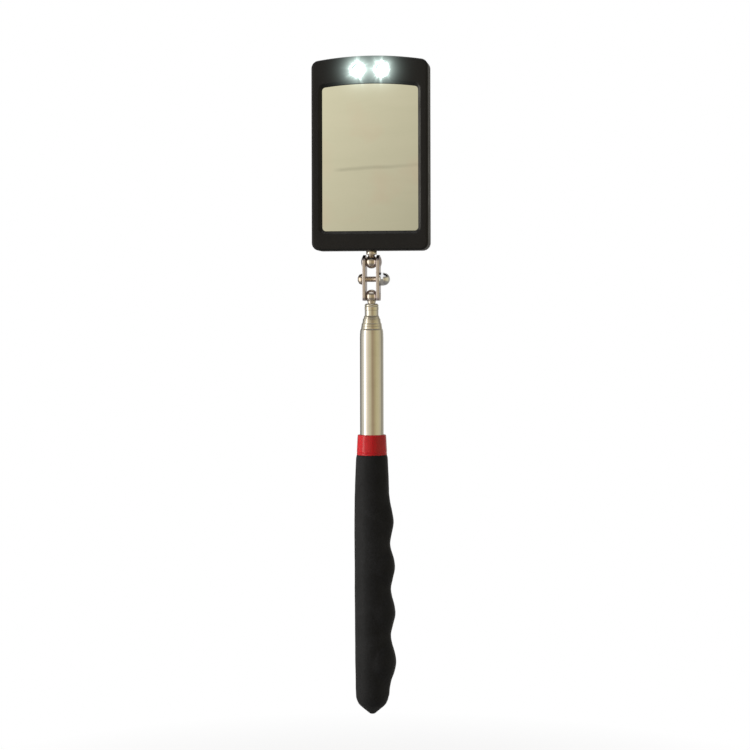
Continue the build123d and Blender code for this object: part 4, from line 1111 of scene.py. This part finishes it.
floor_bm = bmesh.new()
bmesh.ops.create_circle(floor_bm, cap_ends=True, segments=96, radius=1.0)
floor = new_object("floor", floor_bm)
floor.location = (0, 0, -0.06)                # well below the grip
floor.data.materials.append(floor_material())
floor.visible_glossy = False                  # metal reflects the world's bench instead


# ------------------------------------------------------------------ lights
def add_light(name, kind, location, direction, energy, color, **settings):
    """A light hidden from the camera and from reflections."""
    data = bpy.data.lights.new(name, kind)
    data.energy = energy
    data.color = color
    for key, value in settings.items():
        setattr(data, key, value)
    obj = bpy.data.objects.new(name, data)
    bpy.context.scene.collection.objects.link(obj)
    obj.location = location
    obj.rotation_mode = "QUATERNION"
    obj.rotation_quaternion = direction.to_track_quat("-Z", "Y")
    obj.visible_camera = False
    obj.visible_glossy = False
    return obj


# name, location, target, width, energy, colour
for name, location, target, width, energy, color in (
        ("key_left", (-1.15, -0.55, 0.45), (0, 0, 0.15), 0.45, 15.0, (1.0, 0.985, 0.96)),
        ("fill_right", (1.1, -0.45, 0.35), (0, 0, 0.2), 0.5, 0.8, (1.0, 0.97, 0.95)),
        ("fill_back", (0.5, 1.2, 0.55), (0, 0, 0.2), 0.6, 4.0, (1.0, 0.99, 0.97))):
    add_light(name, "AREA", location, Vector(target) - Vector(location), energy, color,
              shape="RECTANGLE", size=width, size_y=0.9)

# light thrown by the two lamps on the band around them
for i, x in enumerate((-LAMP_X, LAMP_X)):
    glow = add_light("lamp_glow_%d" % i, "SPOT", location=(x * MM, -0.0092, LAMP_Z * MM),
                     direction=Vector((0, 1, 0)), energy=0.02, color=(0.90, 1.0, 0.96),
                     shadow_soft_size=0.0012, spot_size=math.radians(166), spot_blend=1.0)
    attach(glow, "mirror_head")

# ------------------------------------------------------------------ camera
CAM_DISTANCE = 0.80
CAM_AZIMUTH = math.radians(8.0)               # from -Y towards +X
CAM_ROLL = math.radians(-0.12)
CAM_Z, CAM_SIDE = 0.175, 0.0015               # height, sideways shift of the aim
VIEW_MID_Z, VIEW_SPAN = 0.1512, 0.3350        # centre height and width of the view
SENSOR = 36.0

cam_data = bpy.data.cameras.new("camera")
cam = bpy.data.objects.new("camera", cam_data)
bpy.context.scene.collection.objects.link(cam)
backward = Vector((math.sin(CAM_AZIMUTH), -math.cos(CAM_AZIMUTH), 0))
rightward = Vector((math.cos(CAM_AZIMUTH), math.sin(CAM_AZIMUTH), 0))
cam.location = Vector((0, 0, CAM_Z)) + rightward * CAM_SIDE + backward * CAM_DISTANCE
cam.rotation_mode = "QUATERNION"
cam.rotation_quaternion = ((-backward).to_track_quat("-Z", "Y")
                           @ Matrix.Rotation(CAM_ROLL, 3, "Z").to_quaternion())
cam_data.sensor_width = SENSOR
cam_data.lens = SENSOR / 2 / (VIEW_SPAN / 2 / CAM_DISTANCE)
cam_data.shift_y = (VIEW_MID_Z - CAM_Z) / VIEW_SPAN
cam_data.clip_start = 0.01
cam_data.clip_end = 50

scene = bpy.context.scene
scene.camera = cam
scene.view_settings.view_transform = "Standard"
scene.view_settings.look = "None"
scene.view_settings.exposure = 0.0
scene.view_settings.gamma = 1.0
